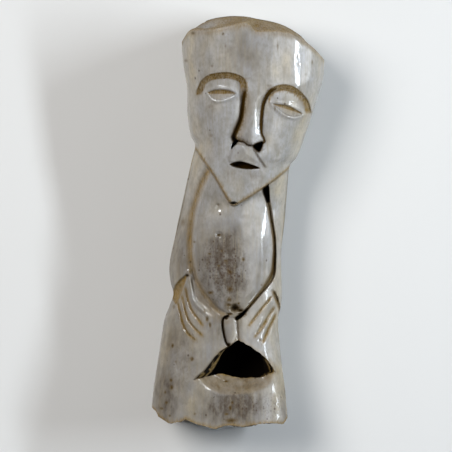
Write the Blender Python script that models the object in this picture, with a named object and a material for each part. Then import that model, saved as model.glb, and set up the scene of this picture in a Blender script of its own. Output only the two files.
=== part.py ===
"""Carved bone figurine: one hollow length of long bone cut into a figure with a mask-like face.

The figurine lies on its back with its face up (+Z), head toward +Y. Left and right below are the
viewer's, looking down on the face: left is -X. Shapes are drawn in parts, 150 parts to the length,
and the wall and the other sizes that matter on their own are named in metres.
"""
import bpy
import numpy as np

LENGTH = 0.150            # jagged foot to the highest point of the head, along Y
PART = LENGTH / 150.0     # one part of the drawings below
WALL = 0.0055 / PART      # bone wall round the marrow canal, waist and foot
HEAD_WALL = 0.0085 / PART  # thicker wall toward the bone's flared end, the head
LEAST_WALL = 0.0013 / PART  # bone left under the deepest blind cuts
WIDEST = 0.018 / PART     # height of the widest level above the rest
TOP_ROUND = 0.0018 / PART  # worn rounding of the head's rim
JAW_STEP = 0.0008 / PART  # how wide the steep step under the jaw is
BROW_STEP = 0.0009 / PART  # how far the temples lie below the forehead
CHEEK_STEP = 0.0009 / PART  # how much deeper the cheeks lie beside the nose
NOSE_VALLEYS = (0.0027 / PART, 0.0014 / PART)  # cut beside the nose on its left and right
NOSE_VALLEY_REACHES = (0.0012 / PART, 0.0008 / PART)  # how far out those cuts fade
NOSE_FALLS = (0.0015 / PART, 0.00145 / PART)  # fall of the nose from its ridge to each side
BELLY_RISE = 0.0022 / PART  # how far the belly swells at its fullest
BLIND_CUT = 0.008 / PART  # nostrils, mouth and the ends of the right cut, down to the least wall
FINGER_CUT = 0.0007 / PART
WRIST_CUT = 0.0015 / PART
TRIANGLES = 9300          # aim for the faceted solid before the opening is cut

# Half outlines of the front view, (x, y), head to foot.
OUTLINE_LEFT = [(-20.0, 76), (-20.4, 64.3), (-19.9, 57.0), (-18.5, 48.2), (-18.5, 39.5), (-17.4, 32.2),
                (-15.7, 27.9), (-17.0, 22.0), (-19.9, 8.9), (-23.0, -5.6), (-24.9, -15.1), (-24.5, -21.7),
                (-23.5, -26.0), (-25.0, -30.4), (-27.0, -36.2), (-28.6, -46.4), (-30.8, -61.0),
                (-31.4, -66.8), (-31.9, -76)]
OUTLINE_RIGHT = [(31.4, 76), (31.4, 59.2), (31.0, 52.6), (29.4, 46.8), (26.6, 38.0), (23.1, 27.9),
                 (21.2, 23.5), (18.7, 20.2), (17.9, 11.8), (16.9, 0.2), (15.7, -11.5), (15.9, -27.5),
                 (14.6, -35.5), (15.3, -46.4), (16.9, -59.5), (18.4, -76)]
# Level of the front and of the back on the middle line, and the fullness of the front, by y.
FRONT = [(76, 37.0), (60, 38.3), (45, 38.6), (32, 38.0), (20, 36.6), (0, 33.0), (-10, 32.2), (-33, 31.0),
         (-50, 31.0), (-76, 32.0)]
BACK = [(76, 2.0), (60, -0.15), (40, 0.5), (10, 2.5), (-20, 2.5), (-50, 0.5), (-62, -0.15), (-76, 0.6)]
FULLNESS = [(76, 2.5), (-30, 2.5), (-50, 2.9), (-60, 3.4), (-76, 3.6)]
BACK_FULLNESS = 2.2
CANAL_FULLNESS = 2.2
# Rim of the head, (x, y), and how far its front edge drops below it, with the broken rim of the foot.
HEAD_RIM = [(-20.6, 66.9), (-18.2, 70.1), (-12.0, 73.2), (-6.9, 74.5), (-0.2, 75.0), (6.2, 74.3),
            (16.7, 71.5), (25.8, 65.7), (31.4, 60.3)]
HEAD_RIM_DROP = [(-20.5, 0.6), (-17.5, 1.8), (-11.7, 3.2), (-3.7, 2.9), (2.4, 1.7), (4.5, 2.6), (6.5, 4.1),
                 (10.0, 3.4), (16.0, 2.0), (19.5, 0.9), (26.0, 0.5), (31.4, 0.4)]
HEAD_RIM_LEVELS = (27.5, 36.0)  # the drop grows between these two levels
FOOT_RIM = [(-31.5, -67.2), (-30.0, -68.5), (-28.9, -70.6), (-25.1, -73.0), (-21.6, -72.5), (-19.2, -71.4),
            (-15.3, -73.0), (-10.5, -74.4), (-8.4, -75.0), (-4.9, -73.7), (-0.7, -73.7), (1.4, -74.2),
            (4.5, -73.5), (10.8, -72.8), (16.4, -73.2), (18.4, -70.6)]
FOOT_RIM_RISE = 1.6       # the back of the broken rim stops this much short of the front

# Lines of the carving, (x, y).
JAW = [(-21.1, 35.5), (-15.6, 27.3), (-8.1, 16.3), (-4.9, 10.7), (-2.4, 7.0), (-1.3, 6.5), (0.2, 7.2),
       (8.1, 12.1), (17.9, 19.6), (26.9, 28.9)]
CHEST_DROP = [(40, 3.4), (25, 3.6), (7, 4.2), (0, 3.2), (-10, 1.9), (-30, 0.9), (-40, 0.4), (-50, 0),
              (-76, 0)]
FOREHEAD_AND_NOSE = [(-27, 40), (-17.8, 45.6), (-15.1, 48.4), (-13.7, 51.3), (-11.4, 53.3), (-8.5, 54.2),
                     (-3.2, 54.5), (1.7, 52.8), (3.2, 49.4), (2.6, 43.9), (1.9, 37.9), (0.4, 33.7),
                     (-0.7, 30.6), (2.2, 29.5), (4.4, 28.3), (8.9, 29.2), (8.0, 32.4), (7.9, 36.5),
                     (8.3, 41.2), (9.0, 44.4), (10.5, 47.2), (13.3, 49.5), (17.5, 50.1), (21.8, 48.4),
                     (25.5, 44.3), (28.4, 37.0), (36, 33), (40, 90), (-30, 90)]
BRIDGE_LEFT = [(3.1, 49.6), (2.6, 43.9), (1.9, 38.0), (0.4, 33.6), (-0.8, 30.4)]
BRIDGE_RIGHT = [(10.2, 46.8), (8.3, 41.5), (7.9, 36.5), (8.0, 32.4), (8.9, 29.4)]
NOSE_RIDGE = 0.6          # place of the nose's ridge between its two sides
EYES = [[(-11.3, 47.0), (-9.6, 48.1), (-6.6, 48.5), (-2.9, 48.1), (-0.7, 46.5), (-2.9, 45.0), (-5.8, 44.1),
         (-8.2, 44.0), (-10.3, 45.3)],
        [(12.2, 43.1), (15.3, 43.1), (18.1, 42.6), (21.3, 41.1), (23.8, 39.2), (21.9, 38.3), (19.5, 38.1),
         (16.8, 39.0), (14.3, 40.9)]]
EYE_SLANTS = [0.0, -0.32]
UPPER_LIP = [(-0.6, 28.8), (4.5, 27.3), (7.4, 22.6), (9.6, 19.7), (4.0, 21.9), (-3.1, 21.5), (-3.1, 24.9)]
LIP_CORNER_CUT = [(5.6, 26.6), (7.8, 22.8), (10.4, 19.4)]
MOUTH = [(-2.9, 21.2), (0.7, 22.1), (4.4, 21.2), (7.8, 19.6), (2.7, 19.3), (-1.7, 20.2)]
NOSTRILS = [[(-0.5, 29.9), (0.1, 29.4), (-1.5, 27.6), (-2.5, 26.6), (-2.1, 28.7)],
            [(5.5, 27.8), (8.9, 29.2), (8.1, 26.3), (7.2, 25.8)]]
BELLY_LEFT = [(-9.4, 24.0), (-10.9, 20.6), (-14.0, 12.0), (-16.2, 3.5), (-17.1, -6.6), (-16.5, -16.5),
              (-13.6, -23.7), (-8.4, -30.0), (-2.4, -34.0)]
BELLY_RIGHT_CUT = [(9.6, 15.0), (10.1, 11.8), (10.9, 8.0), (12.3, 0.2), (13.1, -6.4), (13.1, -13.5),
                   (12.0, -20.0), (6.2, -27.9), (1.5, -33.4), (-0.4, -34.8)]
BELLY_RIGHT_TOP = [(2.0, 25.0), (6.5, 20.0)]
BELLY_LOWEST = [(-1.6, -34.4)]
RIGHT_CUT_WIDTHS = [(0, 1.4), (0.06, 1.35), (0.12, 1.0), (0.3, 0.85), (0.42, 0.75), (0.55, 0.85), (0.66, 1.2),
                    (0.75, 0.8), (0.9, 0.6), (1, 0.9)]
RIGHT_CUT_DEPTHS = [(0, BLIND_CUT), (0.11, BLIND_CUT), (0.15, 1.6), (0.4, 1.4), (0.55, 1.9), (0.66, 1.5),
                    (0.78, 1.2), (0.9, 1.3), (0.97, 5), (1, 5)]
ARM_VALLEY = [(-9.6, 22.0), (-10.7, 19.0), (-13.7, 12.9), (-16.4, 4.2), (-17.4, -2.6), (-17.5, -11.4),
              (-16.9, -18.0)]
ARM_EDGE = [(-19.1, -6.0), (-19.1, -14.0), (-18.3, -19.5)]
BELLY_EDGE = [(-17.2, -11.5), (-15.7, -19.5), (-12.8, -25.3), (-8.5, -31.2), (-4.6, -34.0)]
HAND_EDGE = [(-18.0, -18.0), (-16.9, -25.3), (-13.8, -31.5), (-9.1, -35.9)]
FINGERS = [[(-19.3, -23.1), (-17.3, -31.1), (-12.5, -37.9)],
           [(-20.6, -26.0), (-18.1, -35.5), (-12.7, -41.5)],
           [(-22.1, -28.2), (-19.5, -38.4), (-15.2, -43.1)],
           [(12.5, -26.6), (8.0, -32.2), (3.5, -38.0)],
           [(13.3, -30.4), (9.3, -37.0), (5.7, -42.1)],
           [(13.9, -32.9), (11.1, -38.6), (8.7, -44.4)]]
FINGER_WIDTHS = [0.7, 0.7, 0.7, 0.7, 0.9, 1.2]
LEFT_WRIST = [(-18.4, -18.9), (-22.8, -22.2), (-24.2, -27.1), (-22.4, -30.0), (-20.4, -26.0)]
RIGHT_WRIST = [(12.3, -24.0), (14.0, -28.0), (15.5, -32.9)]
TAB = [(-4.8, -35.0), (-3.3, -34.5), (-1.5, -34.5), (-0.6, -36.6), (-0.4, -41.0), (-1.8, -44.2),
       (-3.2, -44.3), (-4.2, -43.0), (-5.0, -38.4)]
TAB_CUT_LEFT = [(-3.7, -34.0), (-5.4, -35.0), (-5.6, -37.6), (-4.8, -42.1), (-3.8, -44.5), (-2.4, -45.3)]
TAB_CUT_RIGHT = [(-0.5, -34.8), (-0.1, -39.1), (0.2, -43.5)]
PITS = [(-1.8, 7.0, 1.7, 0.7, 3.0), (-1.1, -31.2, 2.4, 1.8, 1.8)]  # chin and belly: x, y, half sizes, depth
OPENING = [(-15.5, -57.1), (-11.7, -53.3), (-6.9, -47.2), (-2.6, -44.4), (-0.2, -42.8), (1.1, -43.1),
           (6.2, -46.2), (11.6, -50.4), (14.4, -54.2), (10.9, -55.0), (8.7, -56.1), (0.7, -56.4),
           (-5.8, -55.2), (-10.2, -55.3)]
OPENING_LEAN = 0.45       # both sides of the opening are cut slanting inward
OPENING_LEAN_LOW = 0.3    # and its lower left corner this much more
SCOOP_EDGE = [(-15.3, -56.6), (-12.4, -60.0), (-7.5, -62.6), (-1.1, -63.2), (6.2, -62.1), (11.6, -59.5),
              (14.0, -54.8)]
SCOOP_CLOSE = [(11.0, -52.0), (-9.0, -52.0)]
SCOOP_SLOPE = 0.78


def curve(points, closed=False, steps=6):
    """A smooth line through the points."""
    p = np.asarray(points, float)
    if closed:
        a, b, c, d = np.roll(p, 1, 0), p, np.roll(p, -1, 0), np.roll(p, -2, 0)
    else:
        q = np.vstack([2 * p[0] - p[1], p, 2 * p[-1] - p[-2]])
        a, b, c, d = q[:-3], q[1:-2], q[2:-1], q[3:]
    t = np.linspace(0, 1, steps, endpoint=False)[None, :, None]
    a, b, c, d = (v[:, None, :] for v in (a, b, c, d))
    bend, twist = 2 * a - 5 * b + 4 * c - d, 3 * b - a - 3 * c + d
    line = 0.5 * (2 * b + (c - a) * t + bend * t ** 2 + twist * t ** 3)
    return np.vstack([line.reshape(-1, 2), p[:1] if closed else p[-1:]])


def follow(line, x, y):
    """Distance to a line, the side (1 is left of the way it runs) and the share of its length."""
    best = np.full(x.shape, np.inf)
    side = np.ones(x.shape)
    share = np.zeros(x.shape)
    steps = np.diff(line, axis=0)
    lengths = np.hypot(steps[:, 0], steps[:, 1])
    starts = np.concatenate([[0], np.cumsum(lengths)])
    for (px, py), (dx, dy), length, start in zip(line[:-1], steps, lengths, starts):
        t = np.clip(((x - px) * dx + (y - py) * dy) / max(length, 1e-9) ** 2, 0, 1)
        ex, ey = x - px - t * dx, y - py - t * dy
        away = ex * ex + ey * ey
        near = away < best
        best = np.where(near, away, best)
        side = np.where(near, np.sign(dx * ey - dy * ex), side)
        share = np.where(near, (start + t * length) / starts[-1], share)
    return np.sqrt(best), side, share


def inside(line, x, y):
    """Distance to a closed line, positive inside it."""
    away = follow(line, x, y)[0]
    within = np.zeros(x.shape, bool)
    for (px, py), (qx, qy) in zip(line[:-1], line[1:]):
        if py != qy:
            within ^= ((py > y) != (qy > y)) & (x < (qx - px) * (y - py) / (qy - py) + px)
    return np.where(within, away, -away)


def ramp(d, width):
    """0 at d = 0 and 1 from d = width on, easing both ways."""
    t = np.clip(d / width, 0, 1)
    return t * t * (3 - 2 * t)


def crisp(d, width):
    """0 at d = 0 and 1 from d = width on, nearly straight, with tight corners."""
    return 0.75 * np.clip(d / width, 0, 1) + 0.25 * ramp(d, width)


def bump(d, width):
    """1 on a line, easing to 0 at the width."""
    t = np.clip(1 - (d / width) ** 2, 0, 1)
    return t * t


def along(y, points):
    """Value at y of a smooth line through (y, value) points."""
    line = curve(sorted(points), steps=8)
    return np.interp(y, line[:, 0], line[:, 1])


def shares(share, points):
    """Value at a share of the way along a line."""
    return np.interp(share, *zip(*points))


def flipped(points):
    """(x, y) points as (y, x)."""
    return [(y, x) for x, y in points]


def halves(y):
    """Middle and half width of the section at y."""
    left, right = along(y, flipped(OUTLINE_LEFT)), along(y, flipped(OUTLINE_RIGHT))
    return (left + right) / 2, (right - left) / 2


def bulge(t, fullness):
    """Height share of a section at share t of its half width."""
    return (1 - np.clip(np.abs(t), 0, 1) ** fullness) ** (1 / fullness)


def uncut_front(x, y):
    """Front of the bone before any carving."""
    middle, half = halves(y)
    return WIDEST + (along(y, FRONT) - WIDEST) * bulge((x - middle) / half, along(y, FULLNESS))


def back(x, y):
    """Back of the bone, with two small flat spots where it rests."""
    middle, half = halves(y)
    level = WIDEST - (WIDEST - along(y, BACK)) * bulge((x - middle) / half, BACK_FULLNESS)
    return np.maximum(level, 0)


def wall(y):
    """Thickness of the bone round the canal."""
    return WALL + (HEAD_WALL - WALL) * ramp(y + 8, 40)


def canal(y, share, side):
    """Point of the canal's wall: x and z for a share of its half width, side 1 front, -1 back."""
    middle, half = halves(y)
    half = half - wall(y)
    top, bottom = along(y, FRONT) - wall(y), along(y, BACK) + wall(y)
    centre = (top + bottom) / 2
    return middle + half * share, centre + side * (top - centre) * bulge(share, CANAL_FULLNESS)


def canal_front(x, y):
    """Level of the canal's front over (x, y), or the widest level beside the canal."""
    middle, half = halves(y)
    share = (x - middle) / (half - wall(y))
    return np.where(np.abs(share) < 1, canal(y, np.clip(share, -1, 1), 1)[1], WIDEST)


def belly_depth(x, y):
    """The belly's swelling, as a negative depth, and where it is."""
    left = along(y, flipped(BELLY_LEFT))
    right = along(y, flipped(BELLY_RIGHT_TOP + BELLY_RIGHT_CUT[:-1] + BELLY_LOWEST))
    half = np.maximum(right - left, 0.6) / 2
    place = (x - (left + right) / 2) / half
    above_tab = y > BELLY_LOWEST[0][1]
    dome = np.sqrt(np.clip(1 - place ** 2, 0, 1))
    rise = BELLY_RISE * (0.23 + 0.77 * ramp(12 - y, 16)) * ramp(half, 12)
    return -rise * dome * above_tab, (np.abs(place) < 1) & above_tab


def right_cut_depth(x, y):
    """The cut beside the belly on the right: a deep hole under the jaw, then a shallow groove."""
    away, _, share = follow(curve(BELLY_RIGHT_CUT), x, y)
    across = away / shares(share, RIGHT_CUT_WIDTHS)
    return shares(share, RIGHT_CUT_DEPTHS) * np.clip(1.25 * (1 - across ** 2), 0, 1)


def hands_depth(x, y, on_belly):
    """Hands, fingers and wrists, and the tab between the hands."""
    away, side, share = follow(curve(HAND_EDGE), x, y)
    valley = ramp(side * away, 1.3) * ramp(4.5 - side * away, 3) * ~on_belly
    depth = 1.1 * valley * ramp(share, 0.2) * ramp(1 - share, 0.25)
    depth = depth - 0.5 * bump(away, 1) * ramp(1 - share, 0.3)
    for finger, width in zip(FINGERS, FINGER_WIDTHS):
        away, _, share = follow(curve(finger), x, y)
        depth = depth + FINGER_CUT * bump(away, width) * ramp(share, 0.2) * ramp(1 - share, 0.4)
    depth = depth + WRIST_CUT * crisp(inside(curve(LEFT_WRIST, True), x, y), 1.1)
    away, _, share = follow(curve(RIGHT_WRIST), x, y)
    depth = depth + WRIST_CUT * bump(away, 0.85) * ramp(share, 0.25)
    tab = inside(curve(TAB, True), x, y)
    depth = depth + 0.25 * (tab > 0) - 0.3 * ramp(tab, 1.2)
    depth = depth + 2.2 * bump(follow(curve(TAB_CUT_LEFT), x, y)[0], 0.65)
    return depth + 0.5 * bump(follow(curve(TAB_CUT_RIGHT), x, y)[0], 0.6)


def body_depth(x, y):
    """How deep the chest, belly, arms and hands lie under the bone's own surface."""
    swelling, on_belly = belly_depth(x, y)
    depth = along(y, CHEST_DROP) + swelling
    away, _, share = follow(curve(ARM_VALLEY), x, y)
    depth = depth + (0.85 * bump(away, 2.4) + 0.25 * bump(away, 0.9)) * ramp(1 - share, 0.25)
    away, _, share = follow(curve(ARM_EDGE), x, y)
    depth = depth - 0.3 * bump(away, 1.2) * ramp(share, 0.3) * ramp(1 - share, 0.3)
    away, side, share = follow(curve(BELLY_EDGE), x, y)
    width = np.where(side > 0, 1.7, 1.0)
    depth = depth + 0.75 * bump(away, width) * ramp(share, 0.25) * ramp(1 - share, 0.15)
    return depth + right_cut_depth(x, y) + hands_depth(x, y, on_belly)


def face_depth(x, y):
    """How deep the eye sockets, cheeks, lips, mouth and nostrils lie under the forehead's surface."""
    raised = inside(curve(FOREHEAD_AND_NOSE, True), x, y)
    left, right = follow(curve(BRIDGE_LEFT), x, y)[0], follow(curve(BRIDGE_RIGHT), x, y)[0]
    beside = np.minimum(left, right)
    deepest, reach = (np.where(left < right, *pair) for pair in (NOSE_VALLEYS, NOSE_VALLEY_REACHES))
    valley = deepest * np.exp(-beside / reach)
    cheek = BROW_STEP + CHEEK_STEP * np.exp(-beside / 9) + valley * ramp(49 - y, 8)
    depth = cheek * crisp(-raised, 0.8 + 1.7 * ramp(y - 44, 5)) * ramp(x + 17.3, 4.5)
    place = left / (left + right + 1e-6)
    fall = NOSE_FALLS[0] * np.clip(1 - place / NOSE_RIDGE, 0, 1) ** 1.5
    fall = fall + NOSE_FALLS[1] * np.clip((place - NOSE_RIDGE) / (1 - NOSE_RIDGE), 0, 1) ** 1.15
    depth = np.maximum(depth, fall * (raised > -1) * ramp(49.5 - y, 9) * (y > 27))
    depth = depth - 0.6 * ramp(inside(curve(UPPER_LIP, True), x, y), 1.0 + 3.0 * ramp(x - 0.5, 4))
    away, _, share = follow(curve(LIP_CORNER_CUT), x, y)
    depth = depth + 0.25 * bump(away, 0.7) * ramp(1 - share, 0.2)
    for eye, slant in zip(EYES, EYE_SLANTS):
        line = curve(eye, True)
        within = inside(line, x, y)
        above = (y - line[:, 1].mean()) - slant * (x - line[:, 0].mean())
        recess = (0.34 + 0.35 * ramp(above + 0.2, 0.9)) * crisp(within - 0.1, 0.6)
        depth = depth - 0.5 * ramp(within + 1.7, 1.9) - 0.12 * bump(within + 0.3, 0.6) + recess
    for hole, grown in ((MOUTH, 0), (NOSTRILS[0], 0.1), (NOSTRILS[1], 0.1)):
        depth = depth + BLIND_CUT * ramp(inside(curve(hole, True), x, y) + grown, 0.75)
    return depth


def scoop_depth(x, y):
    """Bevel cut from the sill of the opening down to the front of the foot."""
    edge = curve(SCOOP_EDGE)
    within = inside(np.vstack([edge, SCOOP_CLOSE, edge[:1]]), x, y) > 0
    return SCOOP_SLOPE * follow(edge, x, y)[0] * within


def front(x, y):
    """Carved front of the figurine over (x, y)."""
    top = uncut_front(x, y)
    away, side, _ = follow(curve(JAW), x, y)
    body = crisp(-side * away, JAW_STEP)
    depth = body * body_depth(x, y) + (1 - body) * face_depth(x, y) + scoop_depth(x, y)
    for pit_x, pit_y, wide, tall, deep in PITS:
        depth = depth + deep * bump(np.hypot((x - pit_x) / wide, (y - pit_y) / tall), 1)
    carved = top - depth * ramp(top - WIDEST, 5)
    return np.minimum(top, np.maximum(carved, canal_front(x, y) + LEAST_WALL))


def rims(x, z):
    """Lengthwise limits of the bone at (x, z): broken foot rim, and head rim lower along its front edge."""
    low, high = HEAD_RIM_LEVELS
    foot = np.interp(x, *zip(*FOOT_RIM)) + FOOT_RIM_RISE * ramp(WIDEST + 8 - z, 16)
    head = along(x, HEAD_RIM) - along(x, HEAD_RIM_DROP) * ramp(z - low, high - low)
    return foot, head


def tube():
    """Outer and inner surfaces as rows of rings from the foot rim to the head rim."""
    step = np.concatenate([np.linspace(0, 0.955, 290), 1 - 0.044 * (1 - np.linspace(0, 1, 14)) ** 1.6])
    front_angle = np.linspace(-np.pi / 2, np.pi / 2, 190)
    back_angle = np.linspace(np.pi / 2, 3 * np.pi / 2, 60)[1:-1]
    share = np.concatenate([np.sin(front_angle), np.sin(back_angle)])[None, :]
    is_front = (np.arange(share.size) < front_angle.size)[None, :]
    side = np.where(is_front, 1, -1)
    y_outer = y_inner = -75 + 150 * step[:, None] + 0 * share
    for _ in range(4):
        middle, half = halves(y_outer)
        x = middle + half * share
        foot, head = rims(x, np.where(is_front, uncut_front(x, y_outer), back(x, y_outer)))
        y_outer = foot + (head - foot) * step[:, None]
        from_top = head - y_outer
        foot, head = rims(*canal(y_inner, share, side))
        y_inner = foot + (head - foot) * step[:, None]
    shrink = TOP_ROUND * (1 - np.sqrt(1 - np.clip(1 - from_top / TOP_ROUND, 0, 1) ** 2))
    middle, half = halves(y_outer)
    x = middle + half * share
    z = np.where(is_front, front(x, y_outer), back(x, y_outer))
    skin = np.dstack([middle + (half - shrink) * share, y_outer, z - shrink * (z - WIDEST) / WIDEST])
    x_inner, z_inner = canal(y_inner, share, side)
    return skin, np.dstack([x_inner, y_inner, z_inner])


def mesh_object(name, vertices, faces):
    """A mesh object from vertices in parts."""
    mesh = bpy.data.meshes.new(name)
    mesh.from_pydata([tuple(v) for v in np.asarray(vertices) * PART], [], [tuple(f) for f in faces])
    mesh.update()
    thing = bpy.data.objects.new(name, mesh)
    bpy.context.scene.collection.objects.link(thing)
    return thing


def ring_faces(first, second, count):
    """Quads between two rings of vertices."""
    turn = np.arange(count)
    following = (turn + 1) % count
    return np.stack([first + turn, first + following, second + following, second + turn], 1)


def hollow_bone():
    """The closed solid: outer surface, canal, and the two rims between them."""
    skin, lining = tube()
    rows, count, _ = skin.shape
    vertices = np.vstack([skin.reshape(-1, 3), lining.reshape(-1, 3)])
    inner = rows * count
    faces = []
    for row in range(rows - 1):
        faces.append(ring_faces((row + 1) * count, row * count, count))
        faces.append(ring_faces(inner + row * count, inner + (row + 1) * count, count))
    faces.append(ring_faces(0, inner, count))
    faces.append(ring_faces(inner + (rows - 1) * count, (rows - 1) * count, count))
    return mesh_object("figurine", vertices, np.vstack(faces))


def opening_cutter():
    """Loft through the front wall, narrower inward at both sides."""
    line = curve(OPENING, True, 4)[:-1]
    count = len(line)
    rings = []
    for level in (16.0, 44.0):
        sides = np.clip((-1.0 - line[:, 0]) / 8, 0, 1) - np.clip((line[:, 0] - 8) / 6, 0, 1)
        lean = OPENING_LEAN + OPENING_LEAN_LOW * np.clip((-8 - line[:, 0]) / 5, 0, 1)
        shift = lean * (30.0 - level) * sides
        rings.append(np.column_stack([line[:, 0] + shift, line[:, 1], np.full(count, level)]))
    faces = [tuple(range(count)), tuple(range(2 * count - 1, count - 1, -1))]
    faces += [tuple(f) for f in ring_faces(count, 0, count)]
    cutter = mesh_object("opening_cutter", np.vstack(rings), faces)
    cutter.hide_render = True
    cutter.display_type = "WIRE"
    return cutter


def bone_material():
    """Polished old bone."""
    material = bpy.data.materials.new("bone")
    material.use_nodes = True
    shader = material.node_tree.nodes["Principled BSDF"]
    shader.inputs["Base Color"].default_value = (0.46, 0.41, 0.29, 1)
    shader.inputs["Roughness"].default_value = 0.4
    shader.inputs["Metallic"].default_value = 0.0
    return material


def build():
    """Make the figurine and cut its opening."""
    for thing in list(bpy.data.objects):
        bpy.data.objects.remove(thing, do_unlink=True)
    figurine = hollow_bone()
    figurine.data.materials.append(bone_material())
    triangles = 2 * len(figurine.data.polygons)
    fewer = figurine.modifiers.new("facets", "DECIMATE")
    fewer.ratio = TRIANGLES / triangles
    cut = figurine.modifiers.new("opening", "BOOLEAN")
    cut.operation = "DIFFERENCE"
    cut.solver = "EXACT"
    cut.object = opening_cutter()


build()
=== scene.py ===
"""Looks of the carved bone figurine: the full carving as one fine mesh, old polished bone, soft studio light.

Left and right are the viewer's, looking down on the face. The carving is drawn in parts, 150 parts
to the figurine's length, on the same outlines as the solid it replaces.
"""
import bpy
import numpy as np
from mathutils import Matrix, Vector


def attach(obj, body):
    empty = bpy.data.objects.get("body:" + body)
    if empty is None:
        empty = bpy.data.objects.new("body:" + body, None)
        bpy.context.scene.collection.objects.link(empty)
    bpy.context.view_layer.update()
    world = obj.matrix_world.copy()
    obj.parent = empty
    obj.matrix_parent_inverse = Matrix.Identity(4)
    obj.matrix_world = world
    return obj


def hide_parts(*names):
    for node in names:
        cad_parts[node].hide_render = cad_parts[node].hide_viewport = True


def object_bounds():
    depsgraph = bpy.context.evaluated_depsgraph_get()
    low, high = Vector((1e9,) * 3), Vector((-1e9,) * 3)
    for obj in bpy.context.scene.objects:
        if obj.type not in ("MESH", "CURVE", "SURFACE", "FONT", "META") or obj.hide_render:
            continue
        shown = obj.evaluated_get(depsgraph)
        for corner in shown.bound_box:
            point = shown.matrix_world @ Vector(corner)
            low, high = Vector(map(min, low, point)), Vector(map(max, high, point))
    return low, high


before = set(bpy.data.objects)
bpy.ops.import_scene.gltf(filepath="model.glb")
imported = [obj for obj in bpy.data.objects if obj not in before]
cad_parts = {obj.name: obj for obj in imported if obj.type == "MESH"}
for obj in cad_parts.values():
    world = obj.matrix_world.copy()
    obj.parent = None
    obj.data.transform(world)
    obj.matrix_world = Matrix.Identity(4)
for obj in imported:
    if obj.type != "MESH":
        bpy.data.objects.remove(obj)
SOLID_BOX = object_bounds()

# Sizes in parts, 150 to the length. PART is one of them in metres.
LENGTH_PARTS = 150.0
PART = 0.150 / LENGTH_PARTS
WALL = 0.0055 / PART
HEAD_WALL = 0.0085 / PART
LEAST_WALL = 0.0013 / PART
WIDEST = 0.018 / PART
TOP_ROUND = 0.0018 / PART
EDGE_ROUND = 0.0006 / PART

# The mesh: triangles before the opening is cut, rows up the length and closer ones at its top edge,
# columns round the section, rings across each rim.
TRIANGLES = 188000
ROWS = 800
EDGE_ROWS = 40
EDGE_START = 0.955
EDGE_SHARE = 0.044
FRONT_COLUMNS = 330
BACK_COLUMNS = 120
RIM_RINGS = 14
SHARP_ANGLE = 50

# The repeatable noise, and the distance told for points that are far from a line.
HASH_FACTORS = (73856093, 19349663, 83492791, 2654435761)
HASH_MIX = 1274126177
FAR = 1e4

# Colours of the bone, its stains and its pores, and the soil and black that also serve as painted shade.
IVORY_GREY = (0.315, 0.313, 0.312)
IVORY_WARM = (0.36, 0.315, 0.235)
STREAK = (0.235, 0.195, 0.13)
SOIL_AND_SHADE = (0.082, 0.066, 0.052)
MOTTLE = (0.19, 0.175, 0.145)
TAN = (0.25, 0.16, 0.05)
TAN_DEEP = (0.13, 0.08, 0.015)
UMBER = (0.034, 0.0165, 0.0006)
PORE = (0.055, 0.032, 0.02)
BLACK_SHADE_AND_STAIN = (0.004, 0.003, 0.002)

# The material: features of its noise and pores in metres, roughness, polish and fine relief.
GRAIN_SIZE = (0.0006, 0.012, 0.0006)
FINE_SIZE = (0.0004, 0.0009, 0.0004)
CLOUD_SIZE = (0.007, 0.014, 0.007)
MOTTLE_SIZE = (0.0026, 0.0042, 0.0026)
SOIL_AND_SHADE_SIZE = (0.002, 0.004, 0.002)
SPECKLE_SIZE = (0.0009, 0.0015, 0.0009)
SMALL_PORE = (0.0008, 0.001, 0.0008)
MIDDLING_PORE = (0.0013, 0.0015, 0.0013)
LARGE_PORE = (0.0055, 0.0065, 0.0055)
SMOOTHEST = 0.33
ROUGHEST = 0.75
POLISH = 0.9
POLISH_ROUGHNESS = 0.13
SHEEN = 0.04
RELIEF_STRENGTH = 0.35
RELIEF_HEIGHT = 0.00006

# The bone: (x, y) points of its outlines and rims, (y, level) and (y, fullness) points down its length,
# and (x, drop) points of the head's rim.
OUTLINE_LEFT = [
    (-20, 76), (-20.4, 64.3), (-19.9, 57), (-18.5, 48.2), (-18.5, 39.5), (-17.4, 32.2), (-15.7, 27.9),
    (-17, 22), (-19.9, 8.9), (-23, -5.6), (-24.9, -15.1), (-24.5, -21.7), (-23.5, -26), (-25, -30.4),
    (-27, -36.2), (-28.6, -46.4), (-30.8, -61), (-31.4, -66.8), (-31.9, -76)]
OUTLINE_RIGHT = [
    (31.4, 76), (31.4, 59.2), (31, 52.6), (29.4, 46.8), (26.6, 38), (23.1, 27.9), (21.2, 23.5),
    (18.7, 20.2), (17.9, 11.8), (16.9, 0.2), (15.7, -11.5), (15.9, -27.5), (14.6, -35.5), (15.3, -46.4),
    (16.9, -59.5), (18.4, -76)]
FRONT = [
    (76, 37), (60, 38.3), (45, 38.6), (32, 38), (20, 36.6), (0, 33), (-10, 32.2), (-33, 31), (-50, 31),
    (-76, 32)]
BACK = [(76, 2), (60, -0.15), (40, 0.5), (10, 2.5), (-20, 2.5), (-50, 0.5), (-62, -0.15), (-76, 0.6)]
FULLNESS = [(76, 2.5), (-30, 2.5), (-50, 2.9), (-60, 3.4), (-76, 3.6)]
BACK_FULLNESS = 2.2
CANAL_FULLNESS = 2.2
HEAD_RIM = [
    (-20.6, 66.9), (-18.2, 70.1), (-12, 73.2), (-6.9, 74.5), (-0.2, 75), (6.2, 74.3), (16.7, 71.5),
    (25.8, 65.7), (31.4, 60.3)]
HEAD_RIM_DROP = [
    (-20.5, 0.6), (-17.5, 1.8), (-11.7, 3.2), (-3.7, 2.9), (2.4, 1.7), (4.5, 2.6), (6.5, 4.1), (10, 3.4),
    (16, 2), (19.5, 0.9), (26, 0.5), (31.4, 0.4)]
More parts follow.
